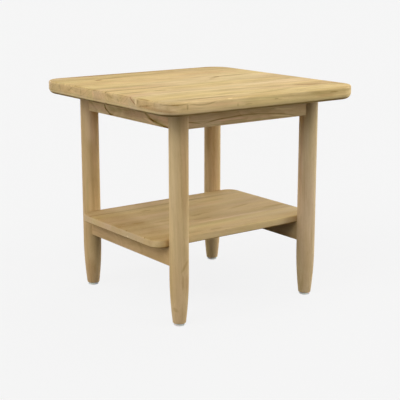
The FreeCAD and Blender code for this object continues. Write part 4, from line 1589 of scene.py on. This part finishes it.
@dataclass
class CrossHeadScrews:
    """A group of pan-head wood screws with a cross recess, all of one length.

    Attributes:
        node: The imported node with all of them, and the piece's name.
        upright: Whether they stand up. Otherwise they lie level and point out of the table.
        head_radius: Radius of the head.
        head_height: Height of the head.
        shank_radius: Radius of the shank, which the crests of the thread reach too.
        cross_width: Width of a slot of the cross.
        cross_reach: Length of a slot.
        cross_depth: Depth of the cross.
        thread_pitch: Distance from crest to crest.
        root_share: Radius between the crests, as a share of the shank's.
        bare_share: Share of the length that has no thread.
        crown_share: Share of the head's height that is domed.
        valley: Where the flat between two crests starts and ends, as shares of the pitch.
    """

    node: str
    upright: bool
    head_radius: float = 0.004
    head_height: float = 0.003
    shank_radius: float = 0.002
    cross_width: float = 0.0011
    cross_reach: float = 0.0048
    cross_depth: float = 0.0018
    thread_pitch: float = 0.0016
    root_share: float = 0.72
    bare_share: float = 0.35
    crown_share: float = 0.55
    valley: Pair = (0.3, 0.7)

    SEGMENTS = 32
    CROWN_STEPS = 6

    def single(self, length: float) -> bmesh.types.BMesh:
        """Makes one screw, its head below the origin and its point up along Z.

        Args:
            length: From below the head to the point.

        Returns:
            The screw as a working mesh.
        """
        root = self.shank_radius * self.root_share
        crown = self.head_height * self.crown_share
        profile = [(0.0, -self.head_height)]
        for step in range(1, self.CROWN_STEPS + 1):
            turn = math.pi / 2 * step / self.CROWN_STEPS
            rise = crown * (1 - math.cos(turn))
            profile.append((self.head_radius * math.sin(turn), -self.head_height + rise))
        profile += [(self.head_radius, 0), (self.shank_radius, 0)]
        thread_from, thread_to = length * self.bare_share, length - 2 * self.shank_radius
        profile.append((self.shank_radius, thread_from))
        height = thread_from
        while height + self.thread_pitch < thread_to:
            profile += [(root, height + self.thread_pitch * share) for share in self.valley]
            height += self.thread_pitch
            profile.append((self.shank_radius, height))
        profile += [(root, thread_to), (0.0, length)]
        floor = -self.head_height + self.cross_depth
        reach, width = self.cross_reach / 2, self.cross_width / 2
        slots = [
            block(Vector((-a, -b, -2 * self.head_height)), Vector((a, b, floor)))
            for a, b in ((reach, width), (width, reach))
        ]
        return combine(lathe(profile, self.SEGMENTS), slots, "DIFFERENCE")

    def build(self) -> None:
        """Makes every screw of the group where its solid is."""
        places = []
        for low, high in loose_boxes(self.node):
            middle, size = (low + high) / 2, high - low
            if self.upright:
                way, total = Z, size.z
            else:
                way = X if size.x > size.y else Y
                way, total = way * math.copysign(1, middle.dot(way)), max(size.x, size.y)
            places.append(facing(way, middle - way * (total / 2 - self.head_height)))
        shape = repeat(self.single(total - self.head_height), places)
        flat_faces_stay_flat(show(self.node, to_mesh(self.node, shape), ZINC, [self.node]))


@dataclass
class LegBolts:
    """The bolts through the corner blocks, with their washers and hexagon nuts.

    Attributes:
        bolt_radius: Radius of a bolt.
        thread_pitch: Distance from crest to crest.
        nut_flats: Width of a nut across its flats.
        washer_radius: Outer radius of a washer.
        bore_radius: Radius of the holes in nuts and washers.
        root_share: Radius between the crests, as a share of the bolt's.
        threaded_share: Share of a bolt's length that has a thread.
        crest: Where a crest starts and ends, as shares of the pitch.
        turned_share: Height of a nut's turned-down corners, as a share of their width.
    """

    bolt_radius: float = 0.003
    thread_pitch: float = 0.001
    nut_flats: float = 0.010
    washer_radius: float = 0.008
    bore_radius: float = 0.0032
    root_share: float = 0.84
    threaded_share: float = 0.45
    crest: Pair = (0.45, 0.55)
    turned_share: float = 0.6

    SEGMENTS = 32

    def at_corners(self, shape: bmesh.types.BMesh, distance: float, height: float) -> bmesh.types.BMesh:
        """Copies a piece to the four bolts, Z pointing out of the table."""
        places = [facing(corner.outward, corner.outward * distance + Z * height) for corner in Corner]
        return repeat(shape, places)

    def bolt(self, length: float) -> bmesh.types.BMesh:
        """Makes a bolt with a machine thread from its inner end, Z towards its point.

        Args:
            length: Its length.

        Returns:
            The bolt as a working mesh.
        """
        root = self.bolt_radius * self.root_share
        profile = [(0.0, 0.0), (root, 0.0)]
        threads = int(length * self.threaded_share / self.thread_pitch)
        for number in range(threads):
            start = number * self.thread_pitch
            profile += [(self.bolt_radius, start + self.thread_pitch * share) for share in self.crest]
            profile.append((root, start + self.thread_pitch))
        thread_end, point_from = threads * self.thread_pitch + root, length - 2 * self.bolt_radius
        profile += [(self.bolt_radius, thread_end), (self.bolt_radius, point_from), (0.0, length)]
        return lathe(profile, self.SEGMENTS)

    def washer(self, thickness: float) -> bmesh.types.BMesh:
        """Makes a flat washer with a soft rim.

        Args:
            thickness: Its thickness.

        Returns:
            The washer as a working mesh.
        """
        soft = thickness / 6
        rim, bore = self.washer_radius, self.bore_radius
        profile = [
            (bore, 0), (rim - soft, 0), (rim, soft), (rim, thickness - soft), (rim - soft, thickness),
            (bore, thickness),
        ]
        return lathe(profile, 2 * self.SEGMENTS, closed=True)

    def nut(self, height: float) -> bmesh.types.BMesh:
        """Makes a hexagon nut, its corners turned down at both ends.

        Args:
            height: Its height.

        Returns:
            The nut as a working mesh.
        """
        point, flat = self.nut_flats / math.sqrt(3), self.nut_flats / 2
        hexagon = lathe([(0, 0), (point, 0), (point, height), (0, height)], 6)
        crown = (point - flat) * self.turned_share
        outside = point + WELD
        double_cone = [
            (0, 0), (flat, 0), (outside, crown), (outside, height - crown), (flat, height), (0, height)
        ]
        bore = [(0, -height), (self.bore_radius, -height), (self.bore_radius, 2 * height), (0, 2 * height)]
        nut = combine(hexagon, [lathe(double_cone, 2 * self.SEGMENTS)], "INTERSECT")
        return combine(nut, [lathe(bore, self.SEGMENTS)], "DIFFERENCE")

    def build(self) -> None:
        """Makes bolts, washers and nuts."""
        makers = {"leg_bolts": self.bolt, "leg_bolt_washers": self.washer, "leg_bolt_nuts": self.nut}
        for node, make in makers.items():
            low, high = loose_boxes(node)[0]
            height = (low.z + high.z) / 2
            near, far = self.ends(node)
            shape = self.at_corners(make(far - near), near, height)
            flat_faces_stay_flat(show(node, to_mesh(node, shape), ZINC, [node]))

    def ends(self, node: str) -> Pair:
        """Finds how far out a node's pieces lie.

        Args:
            node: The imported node.

        Returns:
            Distances from the middle of the table to their inner and outer ends.
        """
        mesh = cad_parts[node].data
        way = Corner.BACK_RIGHT.outward
        reach = [vertex.co.dot(way) for vertex in mesh.vertices if vertex.co.x > 0 and vertex.co.y > 0]
        return min(reach), max(reach)


@dataclass
class GlideNails:
    """The nails that hold the glides, with flat round heads.

    Attributes:
        node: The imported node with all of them, and the piece's name.
        head_radius: Radius of a head.
        head_height: Height of a head.
        shank_radius: Radius of a shank.
        crown_share: Share of the head's height that is domed.
        brow: The dome's middle point, as shares of the head's radius and the dome's height.
        rim: How far past the dome's height the side of the head starts.
    """

    node: str = "glide_nails"
    head_radius: float = 0.004
    head_height: float = 0.0012
    shank_radius: float = 0.00125
    crown_share: float = 0.3
    brow: Pair = (0.6, 0.3)
    rim: float = 0.0002

    SEGMENTS = 32

    def build(self) -> None:
        """Makes the four nails."""
        boxes = loose_boxes(self.node)
        total = boxes[0][1].z - boxes[0][0].z
        crown = self.head_height * self.crown_share
        out, up = self.brow
        profile = [
            (0.0, 0.0), (self.head_radius * out, crown * up), (self.head_radius, crown + self.rim),
            (self.head_radius, self.head_height), (self.shank_radius, self.head_height),
            (self.shank_radius, total - 2 * self.shank_radius), (0.0, total),
        ]
        places = []
        for low, high in boxes:
            middle = (low + high) / 2
            places.append(Matrix.Translation((middle.x, middle.y, low.z)))
        shape = repeat(lathe(profile, self.SEGMENTS), places)
        flat_faces_stay_flat(show(self.node, to_mesh(self.node, shape), ZINC, [self.node]))


# Studio ---------------------------------------------------------------------------------


@dataclass(frozen=True)
class Lamp:
    """A soft distant lamp.

    Attributes:
        name: Its name.
        azimuth: Where it stands, in degrees from the front towards the right.
        elevation: Its height above the floor, in degrees.
        spread: The angle that it takes up in the sky, in degrees.
        strength: Its light on a surface that faces it, as a share of full light.
    """

    name: str
    azimuth: float
    elevation: float
    spread: float
    strength: float

    DISTANCE = 3

    def hang(self) -> None:
        """Adds the lamp to the scene."""
        turn, rise = math.radians(self.azimuth), math.radians(self.elevation)
        way = Vector((math.sin(turn) * math.cos(rise), -math.cos(turn) * math.cos(rise), math.sin(rise)))
        data = bpy.data.lights.new(self.name, "SUN")
        data.energy, data.angle = self.strength * math.pi, math.radians(self.spread)
        lamp = bpy.data.objects.new(self.name, data)
        lamp.rotation_mode = "QUATERNION"
        lamp.rotation_quaternion = way.to_track_quat("Z", "Y")
        lamp.location = way * self.DISTANCE
        bpy.context.scene.collection.objects.link(lamp)


LAMPS = (
    Lamp("high_front", 0, 48, 45, 0.178),
    Lamp("high_back_right", 120, 48, 45, 0.165),
    Lamp("high_left", 300, 48, 45, 0.249),
    Lamp("front_right", 45, 30, 35, 0.146),
    Lamp("back_left", 225, 30, 35, 0.084),
    Lamp("left", 270, 30, 35, 0.239),
    Lamp("level_front_right", 45, 3, 30, 0.455),
    Lamp("level_right", 90, 3, 30, 0.588),
    Lamp("level_back", 180, 3, 30, 0.523),
    Lamp("level_left", 270, 3, 30, 0.246),
)


@dataclass
class Studio:
    """Camera, floor and soft light.

    Attributes:
        focal_length: The camera's focal length, in millimetres.
        sensor: Width of its sensor, in millimetres.
        heading: Which way it looks, in degrees from the back towards the right.
        pitch: How far it looks down, in degrees.
        sideways: How far its line of sight passes to the left of the table's middle.
        distance: How far it stands from the middle.
        eye_height: Its height above the floor.
        backdrop: Colour of the backdrop.
        floor_size: Width of the floor.
        floor_glow: Share of the floor's look that takes no shadow.
        floor_bounce: How much of the light on it the floor throws back at the table.
        dome: Strength of the light from all round.
    """

    focal_length: float = 93.32
    sensor: float = 36.0
    heading: float = 36.42
    pitch: float = 13.2
    sideways: float = -0.0067
    distance: float = 2.496
    eye_height: float = 0.8136
    backdrop: Screen = (246, 246, 246)
    floor_size: float = 60.0
    floor_glow: float = 0.92
    floor_bounce: float = 0.045
    dome: float = 0.12

    def camera(self) -> None:
        """Stands the camera at the front left, a little above the table."""
        heading = math.radians(self.heading)
        forward = Vector((math.sin(heading), math.cos(heading), 0))
        right = Vector((math.cos(heading), -math.sin(heading), 0))
        data = bpy.data.cameras.new("camera")
        data.lens, data.sensor_width = self.focal_length, self.sensor
        camera = bpy.data.objects.new("camera", data)
        camera.location = -forward * self.distance - right * self.sideways + Z * self.eye_height
        camera.rotation_euler = (math.radians(90 - self.pitch), 0, -heading)
        bpy.context.scene.collection.objects.link(camera)
        bpy.context.scene.camera = camera

    def floor(self) -> None:
        """Lays a pale floor that keeps a faint shadow and can be seen through from below."""
        half = self.floor_size / 2
        corners = [(-half, -half, 0), (half, -half, 0), (half, half, 0), (-half, half, 0)]
        mesh = bpy.data.meshes.new("floor")
        mesh.from_pydata(corners, [], [(0, 1, 2, 3)])
        floor = bpy.data.objects.new("floor", mesh)
        bpy.context.scene.collection.objects.link(floor)
        floor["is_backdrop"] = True
        mesh.materials.append(self.floor_material())

    def floor_material(self) -> bpy.types.Material:
        """The floor's look: the backdrop's colour to the eye, and dull to the light on it.

        Returns:
            The material.
        """
        material = bpy.data.materials.new("floor")
        material.use_nodes = True
        graph = Graph(material.node_tree)
        graph.tree.nodes.clear()
        pale, grey = paint(*self.backdrop), (self.floor_bounce, self.floor_bounce, self.floor_bounce, 1)
        lit = graph.plain_shader("ShaderNodeBsdfDiffuse", Color=pale)
        plain = graph.plain_shader("ShaderNodeEmission", Color=pale)
        dull = graph.plain_shader("ShaderNodeBsdfDiffuse", Color=grey)
        clear = graph.plain_shader("ShaderNodeBsdfTransparent")
        seen = graph.mix_shaders(self.floor_glow, lit, plain)
        face = graph.mix_shaders(self.shown(graph), dull, seen)
        below = graph.add("ShaderNodeNewGeometry").outputs["Backfacing"]
        straight = graph.add("ShaderNodeLightPath").outputs["Is Camera Ray"]
        whole = graph.mix_shaders(graph.math("MULTIPLY", below, straight), face, clear)
        graph.feed(graph.add("ShaderNodeOutputMaterial").inputs[0], whole)
        return material

    @staticmethod
    def shown(graph: Graph) -> Socket:
        """Adds 1 for rays that show the backdrop itself, and 0 for those that only carry light.

        Args:
            graph: The graph of the floor or the sky.

        Returns:
            The 1 or 0.
        """
        rays = graph.add("ShaderNodeLightPath").outputs
        mirrored = graph.math("MAXIMUM", rays["Is Glossy Ray"], rays["Is Transmission Ray"])
        return graph.math("MAXIMUM", rays["Is Camera Ray"], mirrored)

    def sky(self) -> None:
        """Puts up a soft dome: pale to the camera, plain light to the table."""
        world = bpy.data.worlds.new("studio")
        bpy.context.scene.world = world
        world.use_nodes = True
        graph = Graph(world.node_tree)
        graph.tree.nodes.clear()
        dome = graph.plain_shader("ShaderNodeBackground", Color=(1, 1, 1, 1), Strength=self.dome)
        seen = graph.plain_shader("ShaderNodeBackground", Color=paint(*self.backdrop))
        both = graph.mix_shaders(self.shown(graph), dome, seen)
        graph.feed(graph.add("ShaderNodeOutputWorld").inputs[0], both)

    def build(self) -> None:
        """Sets up the whole studio."""
        bpy.context.scene.view_settings.view_transform = "Standard"
        self.camera()
        self.floor()
        self.sky()
        for lamp in LAMPS:
            lamp.hang()


def dress_dowels() -> None:
    """Gives the hidden dowels their wood."""
    for node in ("apron_dowels", "rail_dowels"):
        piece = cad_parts[node]
        for slot in piece.material_slots:
            slot.material = DOWEL_WOOD.material()
        log.info("%s: packed shape, %s", node, DOWEL_WOOD.slot)


def write_sizes() -> None:
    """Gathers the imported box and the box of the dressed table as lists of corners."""
    boxes = {"packed": packed_box, "dressed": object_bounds()}
    boxes = {name: [list(corner) for corner in box] for name, box in boxes.items()}


def leg_blank(number: int, corner: Corner) -> Sawn:
    """How a leg's blank was sawn: the pith beside it, on another side of each leg.

    Args:
        number: The leg's number, which picks the side and the stretch of the log.
        corner: Where the leg stands.

    Returns:
        The blank.
    """
    from_axis, axis, turn = 0.045, 0.19, number * 1.9
    side_x, side_y = corner.value
    pith = (from_axis * math.cos(turn) - side_x * axis, from_axis * math.sin(turn) - side_y * axis)
    return Sawn(Z, X, pith, lean=(0.02, -0.03), part=21.0 + 2.7 * number)


def main() -> None:
    """Builds the studio and every piece of the table."""
    Studio().build()
    GluedPanel(
        "tabletop", TOP_WOOD, corner=0.052, upper_round=0.005, lower_round=0.014,
        joints=(-0.123, 0.028, 0.179),
        boards=(
            Sawn(X, Y, pith=(0.21, -0.62), lean=(0.010, 0.035), part=0.0, tint=0.01),
            Sawn(X, Y, pith=(0.06, -0.60), lean=(-0.014, -0.030), part=2.3, tint=-0.01),
            Sawn(X, Y, pith=(-0.09, -0.59), lean=(0.020, 0.022), part=4.9, tint=0.02),
            Sawn(X, Y, pith=(-0.27, -0.64), lean=(0.0, 0.040), part=7.7, tint=-0.02),
        ),
    ).build()
    GluedPanel(
        "shelf", SHELF_WOOD, corner=0.030, upper_round=0.0025, lower_round=0.0025,
        joints=(-0.09, 0.02, 0.11),
        boards=(
            Sawn(X, Y, pith=(0.13, -0.29), lean=(0.010, 0.040), part=11.0, tint=0.02),
            Sawn(X, Y, pith=(0.02, -0.31), lean=(-0.014, -0.034), part=13.2, tint=-0.02),
            Sawn(X, Y, pith=(-0.06, -0.28), lean=(0.020, 0.030), part=15.9, tint=0.01),
            Sawn(X, Y, pith=(-0.18, -0.33), lean=(0.0, 0.040), part=18.7, tint=-0.01),
        ),
    ).build()
    for number, corner in enumerate(Corner):
        TurnedLeg(corner, leg_blank(number, corner)).build()
        CornerBlock(corner).build()
        Glide(corner).build()
    for number, (side, along) in enumerate((("front", X), ("right", Y), ("back", X), ("left", Y))):
        board = Sawn(along, Z, pith=(-0.46, 0.07), lean=(0.02, 0.05), part=33.0 + 2.1 * number)
        Rail(f"apron_{side}", APRON_WOODS[side], board).build()
    for number, side in enumerate(("left", "right")):
        board = Sawn(Y, Z, pith=(-0.15, 0.08), lean=(0.02, 0.05), part=43.0 + 2.1 * number)
        Rail(f"shelf_rail_{side}", RAIL_WOOD, board).build()
    dress_dowels()
    LegBolts().build()
    CrossHeadScrews("block_screws", upright=False).build()
    CrossHeadScrews("top_screws", upright=True).build()
    CrossHeadScrews("shelf_screws", upright=True).build()
    GlideNails().build()
    write_sizes()


if __name__ == "__main__":
    main()
